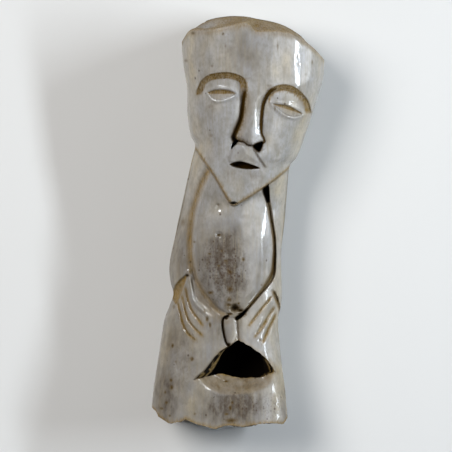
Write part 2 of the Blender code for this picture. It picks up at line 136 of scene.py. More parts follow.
FOOT_RIM = [
    (-31.5, -67.2), (-30, -68.5), (-28.9, -70.6), (-25.1, -73), (-21.6, -72.5), (-19.2, -71.4),
    (-15.3, -73), (-10.5, -74.4), (-8.4, -75), (-4.9, -73.7), (-0.7, -73.7), (1.4, -74.2), (4.5, -73.5),
    (10.8, -72.8), (16.4, -73.2), (18.4, -70.6)]
FOOT_RIM_RISE = 1.6

# The face: lines, the share across the nose where its ridge runs, how far each side falls, and depths.
JAW = [
    (-21.1, 35.5), (-15.6, 27.3), (-8.1, 16.3), (-4.9, 10.7), (-2.4, 7), (-1.3, 6.5), (0.2, 7.2),
    (8.1, 12.1), (17.9, 19.6), (26.9, 28.9)]
FOREHEAD_AND_NOSE = [
    (-27, 40), (-17.8, 45.6), (-15.1, 48.4), (-13.7, 51.3), (-11.4, 53.3), (-8.5, 54.2), (-3.2, 54.5),
    (1.7, 52.8), (3.2, 49.4), (2.6, 43.9), (1.9, 37.9), (0.4, 33.7), (-0.7, 30.6), (2.2, 29.5), (4.4, 28.3),
    (8.9, 29.2), (8, 32.4), (7.9, 36.5), (8.3, 41.2), (9, 44.4), (10.5, 47.2), (13.3, 49.5), (17.5, 50.1),
    (21.8, 48.4), (25.5, 44.3), (28.4, 37), (36, 33), (40, 90), (-30, 90)]
BRIDGE_LEFT = [(3.1, 49.6), (2.6, 43.9), (1.9, 38), (0.4, 33.6), (-0.8, 30.4)]
BRIDGE_RIGHT = [(10.2, 46.8), (8.3, 41.5), (7.9, 36.5), (8, 32.4), (8.9, 29.4)]
NOSE_RIDGE = 0.6
NOSE_FALLS = (1.5, 1.45)
CHEEK_DROP = 0.9
EYE_RISE = 0.5
LIP_RISE = 0.6
MOUTH_DEPTH = 7
NOSTRIL_DEPTH = 8
EYES = [
    [(-11.3, 47), (-9.6, 48.1), (-6.6, 48.5), (-2.9, 48.1), (-0.7, 46.5), (-2.9, 45), (-5.8, 44.1),
     (-8.2, 44), (-10.3, 45.3)],
    [(12.2, 43.1), (15.3, 43.1), (18.1, 42.6), (21.3, 41.1), (23.8, 39.2), (21.9, 38.3), (19.5, 38.1),
     (16.8, 39), (14.3, 40.9)]]
EYE_SLANTS = [0, -0.32]
EYE_GLINTS = [
    [(-11.4, 46.6), (-9.7, 44.6), (-8.2, 43.8), (-5.8, 44.1), (-3.5, 44.7), (-1.9, 45.2)],
    [(-6.6, 49.6), (-5.3, 49.8), (-4, 49.6)],
    [(18.1, 43.8), (19.9, 43), (21.9, 41.7), (23.9, 39.7)],
    [(23.9, 39.4), (22.2, 38.2), (20.2, 37.5), (18.9, 38)]]
UPPER_LIP = [(-0.6, 28.8), (4.5, 27.3), (7.4, 22.6), (9.6, 19.7), (4, 21.9), (-3.1, 21.5), (-3.1, 24.9)]
MOUTH = [(-2.9, 21.2), (0.7, 22.1), (4.4, 21.2), (7.8, 19.6), (2.7, 19.3), (-1.7, 20.2)]
NOSTRILS = [
    [(-0.5, 29.9), (0.1, 29.4), (-1.5, 27.6), (-2.5, 26.6), (-2.1, 28.7)],
    [(5.5, 27.8), (8.9, 29.2), (8.1, 26.3), (7.2, 25.8)]]
LIP_CORNER_CUT = [(5.6, 26.6), (7.8, 22.8), (10.4, 19.4)]

# Chest, belly, arms and hands: (y, drop) points of the chest, and lines of the edges and cuts. Of the
# belly's right cut there are (share, width) and (share, depth) points too.
CHEST_DROP = [
    (40, 3.4), (25, 3.6), (7, 4.2), (0, 3.2), (-10, 1.9), (-30, 0.9), (-40, 0.4), (-50, 0), (-76, 0)]
BELLY_RISE = 0.5
BELLY_LOW_RISE = 1.7
BELLY_TIP = (-1.6, -34.4)
BELLY_CUT_LEFT = [
    (-9.4, 24), (-10.9, 20.6), (-14, 12), (-16.2, 3.5), (-17.1, -6.6), (-16.5, -16.5), (-13.6, -23.7),
    (-8.4, -30), (-2.4, -34)]
BELLY_CUT_RIGHT_TOP = [(2, 25), (6.5, 20)]
BELLY_CUT_RIGHT = [
    (9.6, 15), (10, 11.8), (10.8, 8), (12.15, 0.2), (13.1, -6.4), (13.1, -13.5), (12, -20), (6.2, -27.9),
    (1.5, -33.4), (-0.4, -34.8)]
RIGHT_CUT_WIDTHS = [
    (0, 1.4), (0.06, 1.35), (0.12, 0.9), (0.3, 0.72), (0.42, 0.72), (0.55, 0.85), (0.66, 1.2), (0.75, 0.8),
    (0.9, 0.6), (1, 0.9)]
RIGHT_CUT_DEPTHS = [
    (0, 9), (0.11, 9), (0.15, 1.6), (0.4, 1.4), (0.55, 1.9), (0.66, 1.5), (0.78, 1.2), (0.9, 1.3),
    (0.97, 5), (1, 5)]
RIGHT_CUT_HOLE = 0.14
ARM_VALLEY = [
    (-9.6, 22), (-10.7, 19), (-13.7, 12.9), (-16.4, 4.2), (-17.4, -2.6), (-17.5, -11.4), (-16.9, -18)]
ARM_EDGE = [(-19.1, -6), (-19.1, -14), (-18.3, -19.5)]
BELLY_EDGE = [(-17.2, -11.5), (-15.7, -19.5), (-12.8, -25.3), (-8.5, -31.2), (-4.6, -34)]
HAND_EDGE = [(-18.2, -18), (-17.4, -23.5), (-16.6, -27.5), (-15.3, -29.6), (-13.2, -31.6), (-9.1, -35.6)]
FINGERS = [
    [(-19.3, -23.1), (-17.3, -31.1), (-12.5, -37.9)],
    [(-20.6, -26), (-18.1, -35.5), (-12.7, -41.5)],
    [(-22.1, -28.2), (-19.5, -38.4), (-15.2, -43.1)],
    [(12.5, -26.6), (8, -32.2), (3.5, -38)],
    [(13.3, -30.4), (9.3, -37), (5.7, -42.1)],
    [(13.9, -32.9), (11.1, -38.6), (8.7, -44.4)]]
LEFT_WRIST = [(-18.4, -18.9), (-22.8, -22.2), (-24.2, -27.1), (-22.4, -30), (-20.4, -26)]
RIGHT_WRIST = [(12.3, -24), (14, -28), (15.5, -32.9)]
TAB = [
    (-4.8, -35), (-3.3, -34.5), (-1.5, -34.5), (-0.6, -36.6), (-0.4, -41), (-1.8, -44.2), (-3.2, -44.3),
    (-4.2, -43), (-5, -38.4)]
TAB_CUT_LEFT = [(-3.7, -34), (-5.4, -35), (-5.6, -37.6), (-4.8, -42.1), (-3.8, -44.5), (-2.4, -45.3)]
TAB_CUT_RIGHT = [(-0.5, -34.8), (-0.1, -39.1), (0.2, -43.5)]
WRIST_DEPTH = 1.3

# Finger cuts: depth, half width at the upper and the lower end. Other cuts along lines: line, depth (less
# than 0 is a ridge), half width, shares of the length over which the two ends run out.
FINGER_CUTS = [(0.5, 0.65, 0.65)] * 4 + [(0.75, 1.3, 0.7), (0.75, 1.3, 1.3)]
LINE_CUTS = [
    (ARM_VALLEY, 0.85, 2.4, 0, 0.25), (ARM_VALLEY, 0.25, 0.9, 0, 0.1), (ARM_EDGE, -0.3, 1.2, 0.3, 0.3),
    (HAND_EDGE, -0.5, 1.3, 0, 0.3), (RIGHT_WRIST, 1.6, 0.85, 0.25, 0), (TAB_CUT_LEFT, 2.2, 0.65, 0, 0),
    (TAB_CUT_RIGHT, 0.5, 0.6, 0, 0)]

# Pit at the chin: x, y, half width, half height; it is painted black as the shade in it. Other pits and
# stains: the same, then the depth and the strength of the stain; at 1 the pit is also painted black, as the
# shade deep in it.
CHIN_PIT = (-1.8, 7, 1.7, 0.7)
CHIN_PIT_DEPTH = 3
SPOTS = [
    (-1.1, -31.2, 2, 1.5, 1.8, 1), (-3.4, -30, 0.8, 0.6, 0.3, 0.8), (1.2, -33.4, 1.7, 0.9, 0.8, 1),
    (0.8, -32, 1.2, 0.7, 0.9, 1), (-3.3, -33.3, 1.3, 0.5, 0.5, 0.9), (0.2, -29.4, 0.5, 0.5, 0.2, 0.7),
    (-7, 5.4, 1.3, 1.5, 0.5, 0), (-7.3, 6.4, 0.6, 0.5, 0.25, 0.35), (-7, -4.4, 1.3, 1.1, 0.7, 0),
    (-7.1, -4.6, 0.7, 0.45, 0.5, 0.95), (-3.1, -18, 0.75, 0.7, 0.25, 0.95),
    (1.8, -13.4, 0.6, 0.8, 0.2, 0.7), (-2.9, -24.2, 0.8, 0.7, 0.2, 0.8), (-10, -25.5, 0.8, 0.7, 0.2, 0.8),
    (-18.4, -19.3, 0.8, 0.6, 0.3, 1), (-17.4, -14.4, 0.45, 0.5, 0.15, 0.8),
    (-15.9, -7.1, 0.4, 0.4, 0.12, 0.7), (-10.4, -11.4, 0.6, 0.4, 0.12, 0.6),
    (-7, -15.7, 0.7, 0.5, 0.15, 0.6), (-4.6, -14, 0.7, 0.6, 0.12, 0.5), (-6, -10.3, 0.5, 0.6, 0.12, 0.5),
    (8.5, -22.8, 0.5, 0.5, 0.1, 0.5), (-6.9, -26, 0.5, 0.6, 0.15, 0.6), (-3.2, -28, 0.8, 0.6, 0.2, 0.8),
    (-11.3, -35.1, 0.6, 1.2, 0.25, 0.8), (-10.3, -37.2, 0.5, 0.9, 0.25, 0.8),
    (-12.3, -32.1, 0.4, 0.8, 0.15, 0.6), (-23.8, -44.8, 0.6, 0.9, 0.1, 0.8),
    (-16.7, -49.6, 0.8, 0.9, 0.14, 0.8), (-22.7, -50.6, 0.4, 0.5, 0.06, 0.5),
    (-14.3, -56.5, 1.4, 0.5, 0.15, 0.8), (-4.5, -57.7, 1, 0.5, 0.2, 0.95),
    (-24.4, -57.3, 0.5, 0.6, 0.08, 0.7), (-24.1, -60, 0.6, 0.8, 0.1, 0.8),
    (-26.5, -61.7, 0.4, 0.6, 0.08, 0.6), (-26.1, -65.4, 0.6, 0.6, 0.08, 0.7),
    (-27.8, -67.6, 0.8, 0.6, 0.1, 0.6), (-24.8, -70.2, 0.5, 0.5, 0.08, 0.5),
    (-2.9, -67.4, 0.6, 0.9, 0.1, 0.8), (-4.2, -69.6, 0.8, 0.5, 0.15, 0.7),
    (-2.2, -65.4, 0.4, 0.5, 0.15, 0.7), (-2.5, -71.9, 2.3, 1, 0.15, 0.8),
    (-15.7, -69.5, 0.5, 0.5, 0.1, 0.4), (-23.4, -30.7, 0.5, 0.8, 0.12, 0.4),
    (7.9, -42.9, 0.8, 0.7, 0.2, 0.5), (14.2, -27.7, 0.7, 1, 0.1, 0.8), (-20.1, 0, 0.9, 1.6, 0.12, 0.35),
    (-5.5, 68.3, 0.55, 0.6, 0.25, 0.6), (-3.7, 62.6, 1.9, 1.6, 0.25, 0.1), (-4.6, 64, 0.5, 0.8, 0.1, 0.3),
    (-2.6, 60.8, 0.9, 0.6, 0.08, 0.1), (-5.8, 61, 1.3, 1, 0.14, 0), (-2.6, 65.2, 0.9, 0.7, 0.1, 0),
    (21.8, 60.3, 0.45, 0.7, 0.06, 0.4), (22.2, 57.3, 0.4, 0.6, 0.06, 0.3),
    (14.2, 63.9, 0.3, 1.6, 0.06, 0.3), (26.9, 58.1, 0.35, 1, 0.06, 0.5), (24.7, 53.7, 0.4, 0.6, 0.03, 0.3),
    (-18.9, 58.8, 0.8, 0.7, 0.3, 0.4), (-9.5, 56.6, 0.6, 0.6, 0.1, 0.3), (-16.4, 68.8, 0.9, 0.7, 0.2, 0.6),
    (-10.2, 42, 1, 0.8, 0.1, 0.2), (-9.8, 31.5, 0.8, 0.8, 0.12, 0.25), (-5.1, 52.2, 0.5, 0.25, 0.12, 0.8),
    (17.8, 48.6, 0.5, 0.35, 0.12, 0.8), (-4.3, -34.9, 0.8, 0.5, 0.3, 1), (-3.4, -44.2, 0.9, 0.4, 0.3, 1),
    (3.7, 52.1, 1.4, 0.7, 0.05, 0.2), (5.3, 50.1, 0.8, 1.3, 0.05, 0.2), (11.2, 49.3, 1.4, 0.7, 0.1, 0.3),
    (13.2, 41.6, 0.35, 1.6, 0.25, 0.4), (-2.4, 18.4, 2.4, 2.6, 0.1, 0.12),
    (6.2, 16.6, 2.8, 2.4, 0.12, 0.16)]

# The opening and its walls' slant inward from the level it is drawn at, and the bevel below it.
OPENING = [
    (-15.5, -57.1), (-11.7, -53.3), (-6.9, -47.2), (-2.6, -44.4), (-0.2, -42.8), (1.1, -43.1), (6.2, -46.2),
    (11.6, -50.4), (14.4, -54.2), (10.9, -55), (8.7, -56.1), (0.7, -56.4), (-5.8, -55.2), (-10.2, -55.3)]
OPENING_LEVEL = 30.0
OPENING_LEVELS = [16.0, *np.arange(22.0, 34.0, 0.4), 44.0]
OPENING_LEAN = 0.45
OPENING_LEAN_LOW = 0.3
SCOOP_EDGE = [
    (-15.3, -56.6), (-12.4, -60), (-7.5, -62.6), (-1.1, -63.2), (6.2, -62.1), (11.6, -59.5), (14, -54.8)]
SCOOP_CLOSE = [(11, -52), (-9, -52)]
SCOOP_SLOPE = 0.78

# Low swells that place the highlights: line, height, width.
RIDGES = [
    ([(19, 70), (19.3, 58), (18.6, 48.5)], 0.30, 3),
    ([(21.8, 70), (22, 58), (21.2, 48.5)], -0.08, 1.6),
    ([(11.5, 70), (11.8, 58), (11, 51)], 0.14, 2),
    ([(9, 15), (10.4, 8), (11.4, 0), (11.5, -8)], 0.23, 1.8),
    ([(15, -59.5), (16, -66), (17, -72), (17.4, -77)], 0.55, 1.9),
    ([(13.5, 12), (14.4, -6), (14.2, -22)], 0.2, 1.2),
    ([(17.2, 44.1), (19.9, 43), (21.9, 41.7), (24.8, 38.6)], 0.2, 0.5),
    ([(24.8, 40), (22.2, 38.2), (20.2, 37.5), (17.8, 38.5)], 0.24, 0.5)]

# Wear, soil and painted shade. Patches: x, y, half width, half height, and a strength in lists. Dull lines:
# line, width, strength.
BELLY_SOIL = [(-5.4, -16, 12.5, 22, 0.9), (-1.5, -2, 5.5, 11, 0.3), (-0.5, -22, 7, 9, 0.35)]
# Darker patches, soil and painted shade together; the one on the forehead's middle is a painted dark
# reflection, the one at the nose's tip painted shade under it.
SOIL_AND_SHADE_PATCHES = [
    (-1, -67, 18, 10, 0.9), (-22, -5, 8, 22, 0.35), (-21, -48, 9, 16, 0.35), (-26, -64, 8, 17, 0.7),
    (-7, -37, 7, 8, 0.5), (3, 62, 10, 13, 0.7), (9, -17, 7, 9, 0.3), (4, 31, 3.2, 2.4, 0.4)]
PORE_PATCHES = [
    (-5, -17, 11.5, 18, 1), (0, -66, 16, 9, 0.6), (-20, -52, 9, 22, 0.25), (13, -67, 5, 9, 0.5)]
DULL_PATCHES = [(-2.5, -20, 11, 16, 0.7), (9, -66, 5, 10, 0.4)]
DULL_FOOT = (0, -68, 14, 10)
COOL_FACE = (-3, 34, 19, 20)
HEAD_CHIP = (6.5, 71.3, 4.5, 2.2)
WRIST_STAIN = (-18.6, -19.2, 1, 1)
DULL_LINES = [
    ([(9.9, -3.4), (9.4, -10), (8.5, -18), (7.6, -24)], 2.6, 0.925),
    ([(20.3, 38.5), (19.2, 32), (16.1, 25), (13.5, 21), (12.6, 16)], 3.4, 0.91)]

# The studio, in metres. Lights: name, place, size, power, colour, and True where only the polish shows it.
CAMERA_PLACE = (-0.0044, -0.0013, 4.0)
CAMERA_LENS = 871
CAMERA_SENSOR = 36
CAMERA_REACH = 20
LIGHTS_AIM = (0, 0, 0.02)
LIGHTS = [
    ("key", (0.715, 0.13, 0.44), (0.05, 0.5), 8.2, (0.86, 0.93, 1.0), False),
    ("key strip", (0.72, 0.13, 0.43), (0.045, 0.5), 6.0, (0.80, 0.90, 1.0), True),
    ("panel", (0.50, 0.06, 0.71), (0.62, 0.6), 3.6, (0.9, 0.95, 1.0), True),
    ("low glow", (0.84, 0.10, 0.20), (0.3, 0.4), 2.4, (0.9, 0.95, 1.0), True),
    ("low right", (0.67, -0.48, 0.22), (0.14, 0.14), 1.6, (0.9, 0.95, 1.0), True),
    ("upper right", (0.38, 0.52, 0.42), (0.12, 0.26), 5.0, (0.92, 0.96, 1.0), True),
    ("upper left", (-0.34, 0.55, 0.45), (0.12, 0.3), 3.6, (0.92, 0.96, 1.0), True),
    ("fill", (-0.5, 0.3, 0.85), (0.5, 0.5), 10.2, (1.0, 0.98, 0.96), False)]
SKY = (0.85, 0.9, 1.0, 1)
SKY_STRENGTH = 0.035
FLOOR_SIZE = 6
FLOOR_LEVEL = -0.0004
FLOOR_COLOUR = (0.62, 0.62, 0.61, 1)
FLOOR_ROUGHNESS = 0.9


def curve(points, closed=False, steps=6):
    """A smooth line through the points."""
    p = np.asarray(points, float)
    if closed:
        a, b, c, d = np.roll(p, 1, 0), p, np.roll(p, -1, 0), np.roll(p, -2, 0)
    else:
        q = np.vstack([2 * p[0] - p[1], p, 2 * p[-1] - p[-2]])
        a, b, c, d = q[:-3], q[1:-2], q[2:-1], q[3:]
    t = np.linspace(0, 1, steps, endpoint=False)[None, :, None]
    a, b, c, d = (v[:, None, :] for v in (a, b, c, d))
    line = 0.5 * (2 * b + (c - a) * t + (2 * a - 5 * b + 4 * c - d) * t ** 2
                  + (3 * b - a - 3 * c + d) * t ** 3)
    return np.vstack([line.reshape(-1, 2), p[:1] if closed else p[-1:]])


def follow(line, x, y, reach=None):
    """Distance to a line, the side (1 is left of the way it runs) and the share of its length.

    Points further than the reach from the line's box are only told that they are far away.
    """
    best = np.full(x.shape, FAR)
    side = np.ones(x.shape)
    share = np.zeros(x.shape)
    near_box = np.ones(x.shape, bool)
    if reach is not None:
        (left, low), (right, high) = line.min(0) - reach, line.max(0) + reach
        near_box = (x > left) & (x < right) & (y > low) & (y < high)
    u, v = x[near_box], y[near_box]
    b, s, h = np.full(u.shape, np.inf), np.ones(u.shape), np.zeros(u.shape)
    steps = np.diff(line, axis=0)
    lengths = np.hypot(steps[:, 0], steps[:, 1])
    starts = np.concatenate([[0], np.cumsum(lengths)])
    for (px, py), (dx, dy), length, start in zip(line[:-1], steps, lengths, starts):
        t = np.clip(((u - px) * dx + (v - py) * dy) / max(length, 1e-9) ** 2, 0, 1)
        ex, ey = u - px - t * dx, v - py - t * dy
        away = ex * ex + ey * ey
        near = away < b
        b = np.where(near, away, b)
        s = np.where(near, np.sign(dx * ey - dy * ex), s)
        h = np.where(near, (start + t * length) / starts[-1], h)
    best[near_box], side[near_box], share[near_box] = np.sqrt(b), s, h
    return best, side, share


def inside(line, x, y, reach=None):
    """Distance to a closed line, positive inside it."""
    away = follow(line, x, y, reach)[0]
    within = np.zeros(x.shape, bool)
    near = away < FAR
    u, v, w = x[near], y[near], within[near]
    for (px, py), (qx, qy) in zip(line[:-1], line[1:]):
        if py != qy:
            w ^= ((py > v) != (qy > v)) & (u < (qx - px) * (v - py) / (qy - py) + px)
    within[near] = w
    return np.where(within, away, -away)


def ramp(d, width):
    """0 at d = 0 and 1 from d = width on, easing both ways."""
    t = np.clip(d / width, 0, 1)
    return t * t * (3 - 2 * t)


def crisp(d, width):
    """0 at d = 0 and 1 from d = width on, nearly straight, with tight corners."""
    return 0.75 * np.clip(d / width, 0, 1) + 0.25 * ramp(d, width)


def bump(d, width):
    """1 on a line, easing to 0 at the width."""
    t = np.clip(1 - (d / width) ** 2, 0, 1)
    return t * t


def patch(x, y, place_x, place_y, wide, tall, edge=1):
    """1 at a place, easing to 0 at the edge of an ellipse round it."""
    return bump(np.hypot((x - place_x) / wide, (y - place_y) / tall), edge)


def tapered(share, start, end):
    """1 along a line, easing to 0 over these shares of its length at its two ends, 0 for a blunt end."""
    return (ramp(share, start) if start else 1) * (ramp(1 - share, end) if end else 1)


def along(y, points):
    """Value at y of a smooth line through (y, value) points."""
    line = curve(sorted(points), steps=8)
    return np.interp(y, line[:, 0], line[:, 1])


def shares(share, points):
    """Value at a share of the way along a line."""
    return np.interp(share, *zip(*points))


def flipped(points):
    """(x, y) points as (y, x)."""
    return [(y, x) for x, y in points]


def lattice(i, j, k, seed):
    """A repeatable value from 0 to 1 for each point of a lattice."""
    n = 0
    for value, factor in zip((i, j, k, seed), HASH_FACTORS):
        n = n ^ (value * factor)
    n = (n ^ (n >> 13)) * HASH_MIX
    return ((n ^ (n >> 16)) & 0xFFFF) / 65535.0


def noise(x, y, z, size, seed):
    """Smooth noise from -1 to 1 with features of about the size given, one for each axis."""
    cells = [np.asarray(v, float) / s for v, s in zip((x, y, z), size)]
    low = [np.floor(c).astype(np.int64) for c in cells]
    part = [ramp(c - f, 1.0) for c, f in zip(cells, low)]
    total = 0
    for corner in range(8):
        bits = [(corner >> axis) & 1 for axis in range(3)]
        weight = 1
        for bit, p in zip(bits, part):
            weight = weight * (p if bit else 1 - p)
        total = total + weight * lattice(*(f + bit for f, bit in zip(low, bits)), seed)
    return 2 * total - 1


def halves(y):
    """Middle and half width of the bone at y."""
    left, right = along(y, flipped(OUTLINE_LEFT)), along(y, flipped(OUTLINE_RIGHT))
    return (left + right) / 2, (right - left) / 2


def bulge(t, fullness):
    """Height share of a section at share t of its half width."""
    return (1 - np.clip(np.abs(t), 0, 1) ** fullness) ** (1 / fullness)


def uncut_front(x, y):
    """Front of the bone before any carving."""
    middle, half = halves(y)
    return WIDEST + (along(y, FRONT) - WIDEST) * bulge((x - middle) / half, along(y, FULLNESS))


def back(x, y):
    """Back of the bone, with two small flat spots where it rests."""
    middle, half = halves(y)
    level = WIDEST - (WIDEST - along(y, BACK)) * bulge((x - middle) / half, BACK_FULLNESS)
    return np.maximum(level, 0)


def wall(y):
    """Thickness of the bone round the canal."""
    return WALL + (HEAD_WALL - WALL) * ramp(y + 8, 40)


def canal(y, share, side):
    """Point of the canal's wall: x and z for a share of its half width, side 1 front, -1 back."""
    middle, half = halves(y)
    half = half - wall(y)
    top, bottom = along(y, FRONT) - wall(y), along(y, BACK) + wall(y)
    centre = (top + bottom) / 2
    return middle + half * share, centre + side * (top - centre) * bulge(share, CANAL_FULLNESS)


def canal_front(x, y):
    """Level of the canal's front over (x, y), or the widest level beside the canal."""
    middle, half = halves(y)
    share = (x - middle) / (half - wall(y))
    return np.where(np.abs(share) < 1, canal(y, np.clip(share, -1, 1), 1)[1], WIDEST)


def belly_place(x, y):
    """Place across the belly, -1 at its left cut to 1 at its right cut, and its half width there."""
    left = along(y, flipped(BELLY_CUT_LEFT))
    right = along(y, flipped(BELLY_CUT_RIGHT_TOP + BELLY_CUT_RIGHT[:-1] + [BELLY_TIP]))
    half = np.maximum(right - left, 0.6) / 2
    return (x - (left + right) / 2) / half, half


def right_cut_place(x, y):
    """Place across the belly's right cut, 1 at its edges, the side and the share of its length."""
    away, side, share = follow(curve(BELLY_CUT_RIGHT), x, y, 3)
    return away / shares(share, RIGHT_CUT_WIDTHS), side, share


def body_depth(x, y):
    """How deep the chest, belly, arms and hands lie under the bone's own surface."""
    place, half = belly_place(x, y)
    above_tip = y > BELLY_TIP[1]
    dome = np.sqrt(np.clip(1 - place ** 2, 0, 1)) * ramp(half, 12) * above_tip
    depth = along(y, CHEST_DROP) - (BELLY_RISE + BELLY_LOW_RISE * ramp(12 - y, 16)) * dome
    for line, deep, width, start, end in LINE_CUTS:
        away, _, share = follow(curve(line), x, y, 3)
        depth = depth + deep * bump(away, width) * tapered(share, start, end)
    away, side, share = follow(curve(BELLY_EDGE), x, y, 5)
    depth = depth + 0.75 * bump(away, np.where(side > 0, 1.7, 1.0)) * tapered(share, 0.25, 0.15)
    across, _, share = right_cut_place(x, y)
    depth = depth + shares(share, RIGHT_CUT_DEPTHS) * np.clip(1.25 * (1 - across ** 2), 0, 1)
    away, side, share = follow(curve(HAND_EDGE), x, y, 6)
    on_belly = (np.abs(place) < 1) & above_tip
    valley = ramp(side * away, 1.9) * ramp(4.5 - side * away, 3) * ~on_belly
    depth = depth + 1.1 * valley * tapered(share, 0.2, 0.25)
    for finger, (deep, wide, narrow) in zip(FINGERS, FINGER_CUTS):
        away, _, share = follow(curve(finger), x, y, 3)
        width = narrow + (wide - narrow) * ramp(1 - share, 0.6)
        depth = depth + deep * bump(away, width) * tapered(share, 0.2, 0.4)
    depth = depth + WRIST_DEPTH * crisp(inside(curve(LEFT_WRIST, True), x, y, 2), 1.1)
    tab = inside(curve(TAB, True), x, y, 2)
    return depth + 0.25 * (tab > 0) - 0.3 * ramp(tab, 1.2)


def eye_place(x, y, eye, slant):
    """How far inside an eye's outline a point is, and its height over the eye's slanted middle line."""
    line = curve(eye, True)
    return inside(line, x, y, 5), (y - line[:, 1].mean()) - slant * (x - line[:, 0].mean())


def face_depth(x, y):
    """How deep the eye sockets, cheeks, lips, mouth and nostrils lie under the forehead's surface."""
    raised = inside(curve(FOREHEAD_AND_NOSE, True), x, y)
    left, right = (follow(curve(line), x, y)[0] for line in (BRIDGE_LEFT, BRIDGE_RIGHT))
    beside = np.minimum(left, right)
    valley = np.where(left < right, 2.7 * np.exp(-beside / 1.2), 1.4 * np.exp(-beside / 0.8))
    cheek = CHEEK_DROP * (1 + np.exp(-beside / 9)) + valley * ramp(49 - y, 8)
    depth = cheek * crisp(-raised, 0.8 + 1.7 * ramp(y - 44, 5)) * ramp(x + 17.3, 4.5)
    place = left / (left + right + 1e-6)
    left_fall = np.clip((NOSE_RIDGE - place) / NOSE_RIDGE, 0, 1)
    right_fall = np.clip((place - NOSE_RIDGE) / (1 - NOSE_RIDGE), 0, 1)
    profile = NOSE_FALLS[0] * left_fall ** 1.5 + NOSE_FALLS[1] * right_fall ** 1.15
    depth = np.maximum(depth, profile * (raised > -1) * ramp(49.5 - y, 9) * (y > 27))
    lip = inside(curve(UPPER_LIP, True), x, y, 2)
    depth = depth - LIP_RISE * ramp(lip, 1.0 + 3.0 * ramp(x - 0.5, 4))
    away, _, share = follow(curve(LIP_CORNER_CUT), x, y, 2)
    depth = depth + 0.25 * bump(away, 0.7) * tapered(share, 0, 0.2)
    for eye, slant in zip(EYES, EYE_SLANTS):
        within, above = eye_place(x, y, eye, slant)
        recess = (0.34 + 0.35 * ramp(above + 0.2, 0.9)) * crisp(within - 0.1, 0.6)
        depth = depth - EYE_RISE * ramp(within + 1.7, 1.9) - 0.12 * bump(within + 0.3, 0.6) + recess
    depth = depth + MOUTH_DEPTH * ramp(inside(curve(MOUTH, True), x, y, 2), 0.8)
    for nostril in NOSTRILS:
        depth = depth + NOSTRIL_DEPTH * ramp(inside(curve(nostril, True), x, y, 2) + 0.1, 0.7)
    return depth


def scoop_depth(x, y):
    """Bevel cut from the sill of the opening down to the front of the foot."""
    edge = curve(SCOOP_EDGE)
    within = inside(np.vstack([edge, SCOOP_CLOSE, edge[:1]]), x, y, 1) > 0
    away = follow(edge, x, y, 10)[0]
    return SCOOP_SLOPE * (np.hypot(away, EDGE_ROUND) - EDGE_ROUND) * within


def cut_depth(x, y):
    """Depth of all carving at (x, y)."""
    away, side, _ = follow(curve(JAW), x, y)
    body = crisp(-side * away, 0.7)
    depth = body * body_depth(x, y) + (1 - body) * face_depth(x, y) + scoop_depth(x, y)
    for *pit, deep, _ in SPOTS:
        depth = depth + deep * patch(x, y, *pit, 1.3)
    for line, height, width in RIDGES:
        away, _, share = follow(curve(line), x, y, 6)
        depth = depth - height * np.exp(-(away / width) ** 2) * tapered(share, 0.3, 0.3)
    return depth + CHIN_PIT_DEPTH * patch(x, y, *CHIN_PIT)


def front(x, y):
    """Carved front of the figurine over (x, y)."""
    top = uncut_front(x, y)
    carved = top - cut_depth(x, y) * ramp(top - WIDEST, 5)
    return np.minimum(top + 0.5, np.maximum(carved, canal_front(x, y) + LEAST_WALL))


def rims(x, z):
    """Lengthwise limits of the bone at (x, z): broken foot rim and slanted head rim."""
    foot = np.interp(x, *zip(*FOOT_RIM)) + FOOT_RIM_RISE * ramp(WIDEST + 8 - z, 16)
    head = along(x, HEAD_RIM) - along(x, HEAD_RIM_DROP) * ramp(z - 27.5, 8.5)
    return foot, head


def placed(name, data):
    """A new object in the scene."""
    thing = bpy.data.objects.new(name, data)
    bpy.context.scene.collection.objects.link(thing)
    return thing


def mesh_object(name, vertices, faces):
    """A mesh object from vertices in parts and quads, kept inside the solid's box."""
    vertices = np.clip(vertices * PART, *np.asarray(SOLID_BOX))
    mesh = bpy.data.meshes.new(name)
    mesh.vertices.add(len(vertices))
    mesh.vertices.foreach_set("co", vertices.ravel())
    mesh.loops.add(faces.size)
    mesh.loops.foreach_set("vertex_index", faces.ravel())
    mesh.polygons.add(len(faces))
    mesh.polygons.foreach_set("loop_start", np.arange(0, faces.size, faces.shape[1]))
    mesh.update(calc_edges=True)
    mesh.validate()
    return placed(name, mesh)


def ring_faces(first, second, count):
    """Quads between two rings of vertices."""
    turn = np.arange(count)
    following = (turn + 1) % count
    return np.stack([first + turn, first + following, second + following, second + turn], 1)


def rim_rings(outer_ring, inner_ring, roughness, seed):
    """Rings across a rim from the outer surface to the canal, with a rough face."""
    made = []
    for share in np.linspace(0, 1, RIM_RINGS + 2)[1:-1]:
        ring = outer_ring + (inner_ring - outer_ring) * share
        rough = noise(ring[:, 0], 0, ring[:, 2], (1.6, 1, 1.6), seed)
        rough = rough + 0.6 * noise(ring[:, 0], 0, ring[:, 2], (0.7, 1, 0.7), seed + 1)
        ring[:, 1] += roughness * rough * min(1, 6 * share, 6 * (1 - share))
        made.append(ring)
    return made


